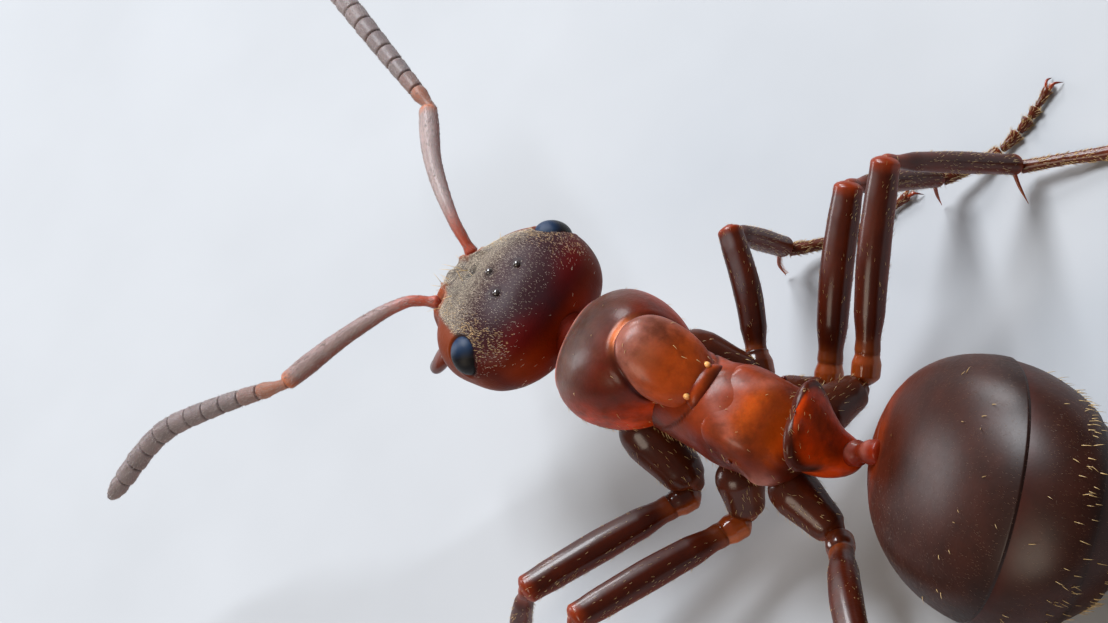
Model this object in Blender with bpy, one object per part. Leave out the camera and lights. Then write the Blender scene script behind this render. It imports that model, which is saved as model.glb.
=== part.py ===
"""Red wood ant worker (Formica rufa group), life size, standing in an alert pose.

Lengths are in millimetres; the empty "ant" scales the whole model to metres.
+X is the way the ant looks, +Y is its left, +Z is up, and the feet stand on Z = 0.
Headings and lifts are degrees over the floor: heading 0 is forward and 90 is left.
"""
from math import cos, pi, radians, sin

import bmesh
import bpy
from mathutils import Matrix, Vector

# ---------------------------------------------------------------- sizes
MILLIMETRE = 0.001
GAP = 0.03                   # clearance between pieces that touch
LEAST = 0.50                 # least thickness of legs and feelers
CENTRE = (-0.46, 0.00)       # brings the middle of the footprint to the origin

THORAX_HEIGHT = 1.90         # thorax centre over the floor
THORAX_PITCH = 12.0          # front end up
PRONOTUM_YAW = 6.0           # the collar turns a little way with the head
MESOTHORAX_SHIFT = 0.04      # and its side plates lean to the left
HEAD_PLACE = (2.57, 0.10, -0.20)      # in the thorax frame
HEAD_TURN = (11.0, -15.0, 7.3)         # roll, pitch, yaw in the thorax frame
PETIOLE_PLACE = (-1.54, -0.08, -0.01)
PETIOLE_TURN = (4.0, 0.0, 20.0)
GASTER_PLACE = (-3.62, -0.46, 1.35)   # in the floor frame
GASTER_TURN = (-28.0, 20.0, 12.0)
GASTER_SLOPE = 0.65          # how far each plate's hind edge leans forward below

# Body plates: rows of (x, half width, top z, bottom z), front to rear or rear to front.
HEAD_FORM = (
    (-0.86, 0.00, 0.02, 0.02),
    (-0.82, 0.45, 0.26, -0.23),
    (-0.69, 0.73, 0.41, -0.41),
    (-0.39, 0.91, 0.53, -0.52),
    (-0.05, 0.91, 0.56, -0.55),
    (0.29, 0.83, 0.46, -0.52),
    (0.59, 0.56, 0.36, -0.45),
    (0.80, 0.41, 0.16, -0.36),
    (0.90, 0.29, 0.05, -0.24),
    (0.93, 0.00, -0.08, -0.08),
)
PRONOTUM_FORM = (
    (1.56, 0.00, -0.06, -0.06),
    (1.53, 0.30, 0.18, -0.28),
    (1.40, 0.56, 0.45, -0.48),
    (1.10, 0.70, 0.70, -0.58),
    (0.72, 0.68, 0.85, -0.58),
    (0.40, 0.54, 0.82, -0.44),
    (0.22, 0.30, 0.60, -0.16),
    (0.18, 0.00, 0.22, 0.22),
)
MESONOTUM_FORM = (
    (0.70, 0.00, 0.70, 0.70),
    (0.66, 0.20, 0.86, 0.52),
    (0.48, 0.36, 0.93, 0.34),
    (0.20, 0.40, 0.86, 0.20),
    (-0.05, 0.34, 0.69, 0.16),
    (-0.22, 0.20, 0.53, 0.20),
    (-0.27, 0.00, 0.36, 0.36),
)
MESOTHORAX_FORM = (
    (1.00, 0.00, -0.20, -0.20),
    (0.92, 0.30, 0.10, -0.48),
    (0.60, 0.44, 0.34, -0.66),
    (0.15, 0.46, 0.42, -0.72),
    (-0.25, 0.47, 0.44, -0.70),
    (-0.54, 0.42, 0.30, -0.58),
    (-0.62, 0.00, -0.10, -0.10),
)
PROPODEUM_FORM = (
    (-0.18, 0.00, 0.00, 0.00),
    (-0.24, 0.38, 0.40, -0.52),
    (-0.48, 0.49, 0.50, -0.62),
    (-0.80, 0.51, 0.46, -0.62),
    (-1.08, 0.48, 0.28, -0.58),
    (-1.26, 0.34, 0.00, -0.50),
    (-1.34, 0.00, -0.28, -0.28),
)
GASTER_FORM = (
    (1.46, 0.00, -0.30, -0.30),
    (1.41, 0.36, 0.06, -0.64),
    (1.18, 0.80, 0.56, -0.94),
    (0.78, 1.13, 0.98, -1.14),
    (0.28, 1.30, 1.21, -1.22),
    (-0.20, 1.31, 1.24, -1.22),
    (-0.64, 1.18, 1.12, -1.12),
    (-1.02, 0.90, 0.84, -0.90),
    (-1.30, 0.54, 0.44, -0.60),
    (-1.43, 0.24, 0.12, -0.34),
    (-1.46, 0.00, -0.10, -0.10),
)
GASTER_SPLITS = (0.0, 0.49, 0.66, 0.77, 0.86, 1.0)
GASTER_TRIM = 0.0025         # what each slice leaves free, as a part of the gaster's length
# The petiole's scale: rows of (height, half depth, half width).
PETIOLE_FORM = (
    (-0.36, 0.00, 0.00),
    (-0.32, 0.30, 0.16),
    (-0.16, 0.42, 0.25),
    (0.02, 0.30, 0.29),
    (0.22, 0.22, 0.38),
    (0.42, 0.17, 0.47),
    (0.60, 0.13, 0.46),
    (0.74, 0.09, 0.32),
    (0.80, 0.00, 0.00),
)

EYE_PLACE = (-0.16, 0.79, 0.22)        # in the head frame, left side
EYE_SIZE = (0.18, 0.15, 0.20)         # half length, half depth, half height
EYE_TURN = 35.0                       # how far the eye's dome faces up
EYE_SLANT = 14.0                      # how far its upper end leans forward
MANDIBLE_PATH = ((0.60, 0.34, -0.22), (0.85, 0.49, -0.42), (1.04, 0.50, -0.58), (1.18, 0.36, -0.72))
MANDIBLE_SIZES = (0.17, 0.17, 0.14, 0.07)

# Feelers: the socket in the head frame, and the points each part runs through in the floor frame.
SOCKET_PLACE = (0.59, 0.30, 0.26)
SCAPE_ROUTE = {
    "left": ((3.40, 0.62, 2.67), (3.79, 1.16, 2.70), (4.21, 1.92, 2.67)),
    "right": ((3.50, -0.38, 2.68), (4.10, -0.80, 2.74), (4.69, -1.32, 2.66)),
}
FUNICULUS_ROUTE = {
    "left": ((4.25, 1.96, 2.67), (5.00, 2.44, 2.54), (5.67, 2.89, 2.30), (6.22, 3.63, 1.85)),
    "right": ((4.73, -1.35, 2.64), (5.50, -1.62, 2.74), (6.24, -1.88, 2.80), (7.10, -2.16, 2.72)),
}
SCAPE_RADII = (LEAST / 2 - 0.03, LEAST / 2, LEAST / 2)
FUNICULUS_RADII = (LEAST / 2 - 0.02, LEAST / 2, LEAST / 2 - 0.03)

# Legs: the hip is in the thorax frame; each segment is (length, heading, lift).
TROCHANTER_LENGTH = 0.30
LEGS = {
    "fore_left": dict(hip=(0.85, 0.43, -0.42), coxa=(1.08, 157, -48.7), femur=(2.00, 68, 16),
                      tibia=(1.27, 28, -54), tarsus=(1.50, 34, 18), bow=0.02),
    "fore_right": dict(hip=(0.85, -0.33, -0.42), coxa=(1.01, -161, -47), femur=(1.60, -51, 24),
                       tibia=(1.34, -42, -66), tarsus=(1.35, -138, -112), bow=0.10),
    "mid_left": dict(hip=(-0.45, 0.32, -0.52), coxa=(0.71, 100, -55), femur=(2.05, 74, 22),
                     tibia=(1.45, 62, -51), tarsus=(1.80, 112, 96), bow=0.02),
    "mid_right": dict(hip=(-0.45, -0.32, -0.52), coxa=(0.76, -91, -52), femur=(2.10, -79, 29),
                      tibia=(1.60, -68, -58), tarsus=(1.45, -122, -84), bow=0.06),
    "hind_left": dict(hip=(-0.98, 0.28, -0.44), coxa=(0.93, 164, -31), femur=(2.22, 147, 19),
                      tibia=(1.96, 121, -36), tarsus=(2.30, 142, 158), bow=0.06),
    "hind_right": dict(hip=(-0.98, -0.28, -0.44), coxa=(0.78, -95, -25), femur=(2.26, -80, 31),
                       tibia=(2.07, -80, -62), tarsus=(2.30, -143, -150), bow=0.06),
}
COXA_RADII = {"fore": (0.29, 0.31, 0.21), "mid": (0.25, 0.26, 0.20), "hind": (0.25, 0.26, 0.20)}
TROCHANTER_RADII = (0.21, 0.22)
FEMUR_RADII = (0.20, LEAST / 2 + 0.02, LEAST / 2, LEAST / 2 - 0.02)
TIBIA_RADII = (LEAST / 2 - 0.05, LEAST / 2, LEAST / 2)
TARSUS_RADII = (LEAST / 2, 0.21)
TARSOMERES = 5
JOINT_START = 0.8            # how thin a limb starts, inside the piece that it is jointed to
HALF_DOME = sin(pi / 4)      # the ring half way up a dome is this wide and this far out
FLAT = cos(pi / 8)           # an eight-sided tube rests on a face this far from its axis

# ------------------------------------------------------------- materials
FINISHES = {
    "head": ((0.040, 0.016, 0.014), 0.45),
    "eye": ((0.008, 0.009, 0.012), 0.12),
    "rust": ((0.42, 0.090, 0.022), 0.32),
    "gaster": ((0.060, 0.018, 0.012), 0.30),
    "leg": ((0.085, 0.024, 0.013), 0.28),
    "amber": ((0.50, 0.150, 0.030), 0.30),
    "feeler": ((0.30, 0.130, 0.085), 0.45),
}


def finish(key):
    """The plain material of one group of pieces."""
    material = bpy.data.materials.get(key)
    if material is None:
        colour, roughness = FINISHES[key]
        material = bpy.data.materials.new(key)
        material.use_nodes = True
        shader = material.node_tree.nodes["Principled BSDF"]
        shader.inputs["Base Color"].default_value = (*colour, 1.0)
        shader.inputs["Roughness"].default_value = roughness
        shader.inputs["Metallic"].default_value = 0.0
    return material


# ---------------------------------------------------------------- shapes
def turn(angles):
    """Rotation for (roll, pitch, yaw); a positive pitch lifts the front end."""
    roll, pitch, yaw = (radians(a) for a in angles)
    return (Matrix.Rotation(yaw, 4, "Z") @ Matrix.Rotation(-pitch, 4, "Y")
            @ Matrix.Rotation(roll, 4, "X"))


def heading(length, bearing, lift):
    """A step of the given length along a bearing and a lift over the floor."""
    flat = length * cos(radians(lift))
    return Vector((flat * cos(radians(bearing)), flat * sin(radians(bearing)),
                   length * sin(radians(lift))))


def smooth_row(rows, t):
    """The row at t (0 to 1) on a Catmull-Rom curve through rows, spaced by their distances."""
    marks = [0.0]
    for before, after in zip(rows, rows[1:]):
        marks.append(marks[-1] + sum((b - a) ** 2 for a, b in zip(before, after)) ** 0.5)
    place = t * marks[-1]
    i = max(k for k in range(len(rows) - 1) if marks[k] <= place + 1e-9)
    span = marks[i + 1] - marks[i]
    s = (place - marks[i]) / span
    result = []
    for column in range(len(rows[0])):
        here, there = rows[i][column], rows[i + 1][column]
        slopes = []
        for k in (i, i + 1):
            low, high = max(k - 1, 0), min(k + 1, len(rows) - 1)
            slopes.append((rows[high][column] - rows[low][column]) / (marks[high] - marks[low]) * span)
        result.append((2 * s ** 3 - 3 * s ** 2 + 1) * here + (s ** 3 - 2 * s ** 2 + s) * slopes[0]
                      + (3 * s ** 2 - 2 * s ** 3) * there + (s ** 3 - s ** 2) * slopes[1])
    return result


def oval(sides, square):
    """Points of a squarish unit circle, flat sides first when square is over 2."""
    points = []
    for k in range(sides):
        angle = 2 * pi * (k + 0.5) / sides
        c, s = cos(angle), sin(angle)
        radius = (abs(c) ** square + abs(s) ** square) ** (-1 / square)
        points.append((radius * c, radius * s))
    return points


def skin(name, rings, material, place=None):
    """A closed object from rings of points; a ring of one point closes an end in a fan."""
    mesh = bmesh.new()
    made = [[mesh.verts.new(point) for point in ring] for ring in rings]
    for lower, upper in zip(made, made[1:]):
        count = max(len(lower), len(upper))
        for k in range(count):
            corners = [lower[k % len(lower)], lower[(k + 1) % len(lower)],
                       upper[(k + 1) % len(upper)], upper[k % len(upper)]]
            mesh.faces.new(list(dict.fromkeys(corners)))
    for ring in (made[0], made[-1]):
        if len(ring) > 1:
            mesh.faces.new(ring)
    bmesh.ops.recalc_face_normals(mesh, faces=mesh.faces)
    if mesh.calc_volume(signed=True) < 0:
        bmesh.ops.reverse_faces(mesh, faces=mesh.faces)
    data = bpy.data.meshes.new(name)
    mesh.to_mesh(data)
    mesh.free()
    data.shade_smooth()
    data.set_sharp_from_angle(angle=radians(50))
    data.materials.append(finish(material))
    piece = bpy.data.objects.new(name, data)
    bpy.context.collection.objects.link(piece)
    piece.parent = ANT
    if place is not None:
        piece.matrix_basis = place
    PIECES.append(piece)


def plate(name, form, material, place, rings, sides, square=2.2, span=(0.0, 1.0), slope=0.0):
    """A body plate: a loft along x through form's rows, or only the given span of it."""
    loops = []
    for step in range(rings + 1):
        t = span[0] + (span[1] - span[0]) * (0.5 - 0.5 * cos(pi * step / rings))
        x, half_width, top, bottom = smooth_row(form, t)
        middle, half_height = (top + bottom) / 2, (top - bottom) / 2
        if (step == 0 and span[0] == 0.0) or (step == rings and span[1] == 1.0):
            loops.append([(x, 0.0, middle)])
            continue
        loops.append([(x - slope * half_height * up, half_width * side, middle + half_height * up)
                      for side, up in oval(sides, square)])
    skin(name, loops, material, place)


def limb(name, route, radii, material, rings, sides=8, domed_start=False, on_floor=False):
    """A round limb through route, with radii spread evenly along it and a dome at its far end.

    Its start is flat and a little thinner, inside the piece that it is jointed to.
    A limb on the floor lies level on its lowest faces, at Z = 0.
    """
    points = [Vector(p) for p in route]
    stations = []
    for step in range(rings + 1):
        t = step / rings
        centre = Vector(smooth_row([tuple(p) for p in points], t))
        ahead = Vector(smooth_row([tuple(p) for p in points], min(t + 0.02, 1.0)))
        behind = Vector(smooth_row([tuple(p) for p in points], max(t - 0.02, 0.0)))
        place = t * (len(radii) - 1)
        k = min(int(place), len(radii) - 2)
        radius = radii[k] + (radii[k + 1] - radii[k]) * (place - k)
        along = (ahead - behind).normalized()
        if step == 0 and not domed_start:
            radius *= JOINT_START
        if on_floor:
            centre.z = radius * FLAT
            along = Vector((along.x, along.y, 0.0)).normalized()
        stations.append((centre, along, radius))

    def ring(centre, along, radius):
        across = along.cross(Vector((0, 0, 1))).normalized()
        up = across.cross(along)
        return [centre + radius * (c * across + s * up) for c, s in oval(sides, 2.0)]

    loops = [ring(*station) for station in stations]
    centre, along, radius = stations[0]
    if domed_start:
        loops.insert(0, ring(centre - along * radius * HALF_DOME, along, radius * HALF_DOME))
        loops.insert(0, [centre - along * radius])
    centre, along, radius = stations[-1]
    loops.append(ring(centre + along * radius * HALF_DOME, along, radius * HALF_DOME))
    loops.append([centre + along * radius])
    skin(name, loops, material)


def give_way(pieces):
    """Cuts each piece back from every earlier piece that its box meets, leaving GAP."""
    boxes = []
    for piece in pieces:
        corners = [piece.matrix_basis @ vertex.co for vertex in piece.data.vertices]
        boxes.append(([min(c[a] for c in corners) - GAP for a in range(3)],
                      [max(c[a] for c in corners) + GAP for a in range(3)]))
    cutters = {}
    for later, piece in enumerate(pieces):
        for earlier in range(later):
            if any(boxes[later][0][a] > boxes[earlier][1][a] or boxes[earlier][0][a] > boxes[later][1][a]
                   for a in range(3)):
                continue
            if earlier not in cutters:
                cutters[earlier] = grown_copy(pieces[earlier])
            cut = piece.modifiers.new("clear of " + pieces[earlier].name, "BOOLEAN")
            cut.operation = "DIFFERENCE"
            cut.object = cutters[earlier]


def grown_copy(piece):
    """A cutter: the piece's own shape, larger by GAP all over."""
    data = piece.data.copy()
    for vertex, normal in [(v, v.normal.copy()) for v in data.vertices]:
        vertex.co = vertex.co + normal * GAP
    cutter = bpy.data.objects.new("cutter_" + piece.name, data)
    bpy.context.collection.objects.link(cutter)
    cutter.parent = ANT
    cutter.matrix_basis = piece.matrix_basis
    cutter.hide_render = True
    cutter.display_type = "WIRE"
    return cutter


# ------------------------------------------------------------------ body
def build_thorax():
    plate("mesonotum", MESONOTUM_FORM, "rust", THORAX, rings=8, sides=16)
    plate("pronotum", PRONOTUM_FORM, "rust", PRONOTUM, rings=10, sides=20)
    plate("mesothorax", MESOTHORAX_FORM, "rust", MESOTHORAX, rings=8, sides=16)
    plate("propodeum", PROPODEUM_FORM, "rust", THORAX, rings=8, sides=16)


def build_head():
    """The eyes come first, so that the head is cut back round them."""
    length, depth, height = EYE_SIZE
    for side, sign in (("left", 1), ("right", -1)):
        x, y, z = EYE_PLACE
        angles = [pi * k / 6 for k in range(7)]
        form = [(length * cos(a), depth * sin(a), height * sin(a), -height * sin(a)) for a in angles]
        lean = (Matrix.Rotation(radians(EYE_TURN) * sign, 4, "X")
                @ Matrix.Rotation(radians(EYE_SLANT), 4, "Y"))
        plate("eye_" + side, form, "eye", HEAD @ Matrix.Translation((x, sign * y, z)) @ lean,
              rings=8, sides=12, square=2.0)
    plate("head", HEAD_FORM, "head", HEAD, rings=12, sides=20, square=2.3)
    for side, sign in (("left", 1), ("right", -1)):
        route = [HEAD @ Vector((px, sign * py, pz)) for px, py, pz in MANDIBLE_PATH]
        limb("mandible_" + side, route, MANDIBLE_SIZES, "amber", rings=5)


def build_feelers():
    x, y, z = SOCKET_PLACE
    for side, sign in (("left", 1), ("right", -1)):
        socket = tuple(HEAD @ Vector((x, sign * y, z)))
        limb("scape_" + side, (socket, *SCAPE_ROUTE[side]), SCAPE_RADII, "feeler", rings=6)
        limb("funiculus_" + side, FUNICULUS_ROUTE[side], FUNICULUS_RADII, "feeler", rings=8)


def build_neck():
    back_of_head = HEAD @ Vector((-0.60, 0.0, -0.14))
    front_of_thorax = PRONOTUM @ Vector((1.36, 0.0, -0.12))
    limb("neck", [back_of_head, front_of_thorax], (0.22, 0.25), "rust", rings=2)


def build_waist():
    """The petiole: a low stalk that rises into an upright scale."""
    loops = []
    steps = 10
    for step in range(steps + 1):
        z, half_depth, half_width = smooth_row(PETIOLE_FORM, 0.5 - 0.5 * cos(pi * step / steps))
        if step in (0, steps):
            loops.append([(0.0, 0.0, z)])
        else:
            loops.append([(half_depth * c, half_width * s, z) for c, s in oval(16, 2.0)])
    skin("petiole", loops, "rust", PETIOLE)


def build_gaster():
    """The gaster's overlapping plates, as slices of one form with a hairline between them."""
    for number, (start, end) in enumerate(zip(GASTER_SPLITS, GASTER_SPLITS[1:]), 1):
        first, last = number == 1, number == len(GASTER_SPLITS) - 1
        span = (start if first else start + GASTER_TRIM, end if last else end - GASTER_TRIM)
        plate("gaster_%d" % number, GASTER_FORM, "gaster", GASTER, rings=9 if first else 4, sides=24,
              span=span, slope=GASTER_SLOPE)


# ------------------------------------------------------------------ legs
def build_leg(name, leg):
    pair = name.split("_")[0]
    hip = THORAX @ Vector(leg["hip"])
    coxa_end = hip + heading(*leg["coxa"])
    step = heading(*leg["femur"])
    femur_start = coxa_end + step.normalized() * TROCHANTER_LENGTH
    knee = coxa_end + step
    ankle = knee + heading(*leg["tibia"])
    ankle.z = max(ankle.z, TARSUS_RADII[0] + GAP)
    limb("coxa_" + name, [hip, (hip + coxa_end) / 2, coxa_end], COXA_RADII[pair], "leg", rings=4,
         domed_start=True)
    limb("trochanter_" + name, [coxa_end, femur_start], TROCHANTER_RADII, "amber", rings=2)
    middle = (femur_start + knee) / 2 + Vector((0, 0, leg["bow"]))
    limb("femur_" + name, [femur_start, middle, knee], FEMUR_RADII, "leg", rings=6)
    limb("tibia_" + name, [knee, (knee + ankle) / 2, ankle], TIBIA_RADII, "leg", rings=4)
    length, start_bearing, end_bearing = leg["tarsus"]
    route = [ankle]
    for k in range(TARSOMERES):
        bearing = start_bearing + (end_bearing - start_bearing) * (k + 0.5) / TARSOMERES
        route.append(route[-1] + heading(length / TARSOMERES, bearing, 0))
    limb("tarsus_" + name, route, TARSUS_RADII, "leg", rings=8, on_floor=True)


# ------------------------------------------------------------------ model
for leftover in list(bpy.data.objects):
    bpy.data.objects.remove(leftover, do_unlink=True)

ANT = bpy.data.objects.new("ant", None)
bpy.context.collection.objects.link(ANT)
ANT.scale = (MILLIMETRE,) * 3
ANT.location = (CENTRE[0] * MILLIMETRE, CENTRE[1] * MILLIMETRE, 0.0)
PIECES = []

THORAX = Matrix.Translation((0, 0, THORAX_HEIGHT)) @ turn((0, THORAX_PITCH, 0))
PRONOTUM = THORAX @ turn((0, 0, PRONOTUM_YAW))
MESOTHORAX = THORAX @ Matrix.Translation((0, MESOTHORAX_SHIFT, 0))
HEAD = THORAX @ Matrix.Translation(HEAD_PLACE) @ turn(HEAD_TURN)
PETIOLE = THORAX @ Matrix.Translation(PETIOLE_PLACE) @ turn(PETIOLE_TURN)
GASTER = Matrix.Translation(GASTER_PLACE) @ turn(GASTER_TURN)

build_thorax()
build_head()
build_feelers()
build_neck()
build_waist()
build_gaster()
for leg_name, leg_pose in LEGS.items():
    build_leg(leg_name, leg_pose)
give_way(PIECES)
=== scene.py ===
"""Red wood ant worker (Formica rufa group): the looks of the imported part.

Lengths are millimetres in the ant's own frame and become metres when a mesh is made.
+X is the way the ant looks, +Y is its left, +Z is up, and the feet stand on Z = 0.
The pose and the forms beside it repeat named values of the part's source, so that each fine
piece lies in its node. METANOTUM_FORM and SIDE_FORM are this script's own: the side plate runs
further back than its node does, over the rear plate.
"""
from collections import namedtuple
from math import cos, pi, radians, sin

import bpy
import numpy as np
from mathutils import Matrix, Vector, kdtree


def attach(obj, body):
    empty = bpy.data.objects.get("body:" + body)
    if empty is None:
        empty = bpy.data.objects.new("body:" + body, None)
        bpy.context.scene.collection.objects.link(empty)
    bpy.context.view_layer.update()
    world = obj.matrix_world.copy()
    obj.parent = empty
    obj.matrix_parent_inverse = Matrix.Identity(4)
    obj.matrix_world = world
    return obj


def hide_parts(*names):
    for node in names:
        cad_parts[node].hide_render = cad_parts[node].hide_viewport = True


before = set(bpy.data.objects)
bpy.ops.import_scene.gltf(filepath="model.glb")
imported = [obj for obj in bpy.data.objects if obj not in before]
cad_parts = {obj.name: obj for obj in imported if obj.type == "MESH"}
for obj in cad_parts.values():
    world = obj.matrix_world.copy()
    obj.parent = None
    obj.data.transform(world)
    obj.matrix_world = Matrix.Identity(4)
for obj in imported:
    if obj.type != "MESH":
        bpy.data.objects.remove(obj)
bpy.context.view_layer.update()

# ---- pose
MILLIMETRE = 0.001
CENTRE = (-0.46, 0.00)
THORAX_HEIGHT = 1.90
THORAX_PITCH = 12.0
PRONOTUM_YAW = 6.0
MESOTHORAX_SHIFT = 0.04
HEAD_PLACE = (2.57, 0.10, -0.20)
HEAD_TURN = (11.0, -15.0, 7.3)
PETIOLE_PLACE = (-1.54, -0.08, -0.01)
PETIOLE_TURN = (4.0, 0.0, 20.0)
GASTER_PLACE = (-3.62, -0.46, 1.35)
GASTER_TURN = (-28.0, 20.0, 12.0)
GASTER_SLOPE = 0.65
GASTER_SPLITS = (0.0, 0.49, 0.66, 0.77, 0.86, 1.0)

SIDES = (("left", 1), ("right", -1))

# Body plates: rows of (x, half width, top z, bottom z).
HEAD_FORM = (
    (-0.86, 0.00, 0.02, 0.02), (-0.82, 0.45, 0.26, -0.23), (-0.69, 0.73, 0.41, -0.41),
    (-0.39, 0.91, 0.53, -0.52), (-0.05, 0.91, 0.56, -0.55), (0.29, 0.83, 0.46, -0.52),
    (0.59, 0.56, 0.36, -0.45), (0.80, 0.41, 0.16, -0.36), (0.90, 0.29, 0.05, -0.24),
    (0.93, 0.00, -0.08, -0.08),
)
PRONOTUM_FORM = (
    (1.56, 0.00, -0.06, -0.06), (1.53, 0.30, 0.18, -0.28), (1.40, 0.56, 0.45, -0.48),
    (1.10, 0.70, 0.70, -0.58), (0.72, 0.68, 0.85, -0.58), (0.40, 0.54, 0.82, -0.44),
    (0.22, 0.30, 0.60, -0.16), (0.18, 0.00, 0.22, 0.22),
)
MESONOTUM_FORM = (
    (0.70, 0.00, 0.70, 0.70), (0.66, 0.20, 0.86, 0.52), (0.48, 0.36, 0.93, 0.34),
    (0.20, 0.40, 0.86, 0.20), (-0.05, 0.34, 0.69, 0.16), (-0.22, 0.20, 0.53, 0.20),
    (-0.27, 0.00, 0.36, 0.36),
)
PROPODEUM_FORM = (
    (-0.18, 0.00, 0.00, 0.00), (-0.24, 0.38, 0.40, -0.52), (-0.48, 0.49, 0.50, -0.62),
    (-0.80, 0.51, 0.46, -0.62), (-1.08, 0.48, 0.28, -0.58), (-1.26, 0.34, 0.00, -0.50),
    (-1.34, 0.00, -0.28, -0.28),
)
GASTER_FORM = (
    (1.46, 0.00, -0.30, -0.30), (1.41, 0.36, 0.06, -0.64), (1.18, 0.80, 0.56, -0.94),
    (0.78, 1.13, 0.98, -1.14), (0.28, 1.30, 1.21, -1.22), (-0.20, 1.31, 1.24, -1.22),
    (-0.64, 1.18, 1.12, -1.12), (-1.02, 0.90, 0.84, -0.90), (-1.30, 0.54, 0.44, -0.60),
    (-1.43, 0.24, 0.12, -0.34), (-1.46, 0.00, -0.10, -0.10),
)
PETIOLE_FORM = (          # height, half depth, half width
    (-0.36, 0.00, 0.00), (-0.32, 0.30, 0.16), (-0.16, 0.42, 0.25), (0.02, 0.30, 0.29),
    (0.22, 0.22, 0.38), (0.42, 0.17, 0.47), (0.60, 0.13, 0.46), (0.74, 0.09, 0.32),
    (0.80, 0.00, 0.00),
)
EYE_PLACE = (-0.16, 0.79, 0.22)
EYE_SIZE = (0.18, 0.15, 0.20)
EYE_TURN = 35.0
EYE_SLANT = 14.0
MANDIBLE_PATH = ((0.60, 0.34, -0.22), (0.85, 0.49, -0.42), (1.04, 0.50, -0.58), (1.18, 0.36, -0.72))

SCAPE_ROUTE = {
    "left": ((3.40, 0.62, 2.67), (3.79, 1.16, 2.70), (4.21, 1.92, 2.67)),
    "right": ((3.50, -0.38, 2.68), (4.10, -0.80, 2.74), (4.69, -1.32, 2.66)),
}
LASH_ROUTE = {
    "left": ((4.25, 1.96, 2.67), (5.00, 2.44, 2.54), (5.67, 2.89, 2.30), (6.22, 3.63, 1.85)),
    "right": ((4.73, -1.35, 2.64), (5.50, -1.62, 2.74), (6.24, -1.88, 2.80), (7.10, -2.16, 2.72)),
}
TROCHANTER_LENGTH = 0.30
LEGS = {
    "fore_left": dict(hip=(0.85, 0.43, -0.42), coxa=(1.08, 157, -48.7), femur=(2.00, 68, 16),
                      tibia=(1.27, 28, -54), tarsus=(1.50, 34, 18), bow=0.02),
    "fore_right": dict(hip=(0.85, -0.33, -0.42), coxa=(1.01, -161, -47), femur=(1.60, -51, 24),
                       tibia=(1.34, -42, -66), tarsus=(1.35, -138, -112), bow=0.10),
    "mid_left": dict(hip=(-0.45, 0.32, -0.52), coxa=(0.71, 100, -55), femur=(2.05, 74, 22),
                     tibia=(1.45, 62, -51), tarsus=(1.80, 112, 96), bow=0.02),
    "mid_right": dict(hip=(-0.45, -0.32, -0.52), coxa=(0.76, -91, -52), femur=(2.10, -79, 29),
                      tibia=(1.60, -68, -58), tarsus=(1.45, -122, -84), bow=0.06),
    "hind_left": dict(hip=(-0.98, 0.28, -0.44), coxa=(0.93, 164, -31), femur=(2.22, 147, 19),
                      tibia=(1.96, 121, -36), tarsus=(2.30, 142, 158), bow=0.06),
    "hind_right": dict(hip=(-0.98, -0.28, -0.44), coxa=(0.78, -95, -25), femur=(2.26, -80, 31),
                       tibia=(2.07, -80, -62), tarsus=(2.30, -143, -150), bow=0.06),
}

# ---- colours
SOOT = (0.010, 0.006, 0.006)
UMBER = (0.042, 0.011, 0.006)
CHESTNUT = (0.105, 0.019, 0.006)
BLOOD = (0.090, 0.006, 0.004)
RUST = (0.270, 0.033, 0.005)
ORANGE = (0.500, 0.088, 0.010)
# the colour of painted glow: light shining through the shell
PAINTED_GLOW = (1.000, 0.210, 0.020)
AMBER = (0.330, 0.075, 0.011)
# the colour of the painted sheen on the pronotum's upper front
PAINTED_HAZE_COLOUR = (0.085, 0.055, 0.047)
# pale rose of painted highlights; on the gland bulb also part of its own pale colour
ROSE_PAINTED_HIGHLIGHT = (0.520, 0.200, 0.160)
FAWN = (0.330, 0.200, 0.165)


def rgb(colour):
    return np.array(colour, float)


def blend(first, second, amount):
    """Two colours or arrays of colours, mixed by an array of amounts from 0 to 1."""
    amount = np.clip(amount, 0.0, 1.0)[..., None]
    return rgb(first) * (1 - amount) + rgb(second) * amount


def layered(colour, *layers):
    """A colour with others laid over it, each a colour and its amount."""
    for over, amount in layers:
        colour = blend(colour, over, amount)
    return colour


def ramp(x, low, high):
    """0 below low, 1 above high, smooth between them."""
    s = np.clip((x - low) / (high - low), 0.0, 1.0)
    return s * s * (3 - 2 * s)


def hump(x, centre, width):
    """A smooth hump, 1 at centre."""
    return np.exp(-((x - centre) / width) ** 2)


# ---- skins as grids
TINY = 1e-12                 # keeps a division from failing


def turn(angles):
    """Rotation for (roll, pitch, yaw); a positive pitch lifts the front end."""
    roll, pitch, yaw = (radians(a) for a in angles)
    return (Matrix.Rotation(yaw, 4, "Z") @ Matrix.Rotation(-pitch, 4, "Y")
            @ Matrix.Rotation(roll, 4, "X"))


THORAX = Matrix.Translation((0, 0, THORAX_HEIGHT)) @ turn((0, THORAX_PITCH, 0))
PRONOTUM = THORAX @ turn((0, 0, PRONOTUM_YAW))
MESOTHORAX = THORAX @ Matrix.Translation((0, MESOTHORAX_SHIFT, 0))
HEAD = THORAX @ Matrix.Translation(HEAD_PLACE) @ turn(HEAD_TURN)
PETIOLE = THORAX @ Matrix.Translation(PETIOLE_PLACE) @ turn(PETIOLE_TURN)
GASTER = Matrix.Translation(GASTER_PLACE) @ turn(GASTER_TURN)


def point_in(matrix, x, y, z):
    """A point of a part's own frame."""
    return np.array(matrix @ Vector((x, y, z)))


def unit(vector):
    """A vector's direction, one long."""
    return vector / np.linalg.norm(vector)


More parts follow.
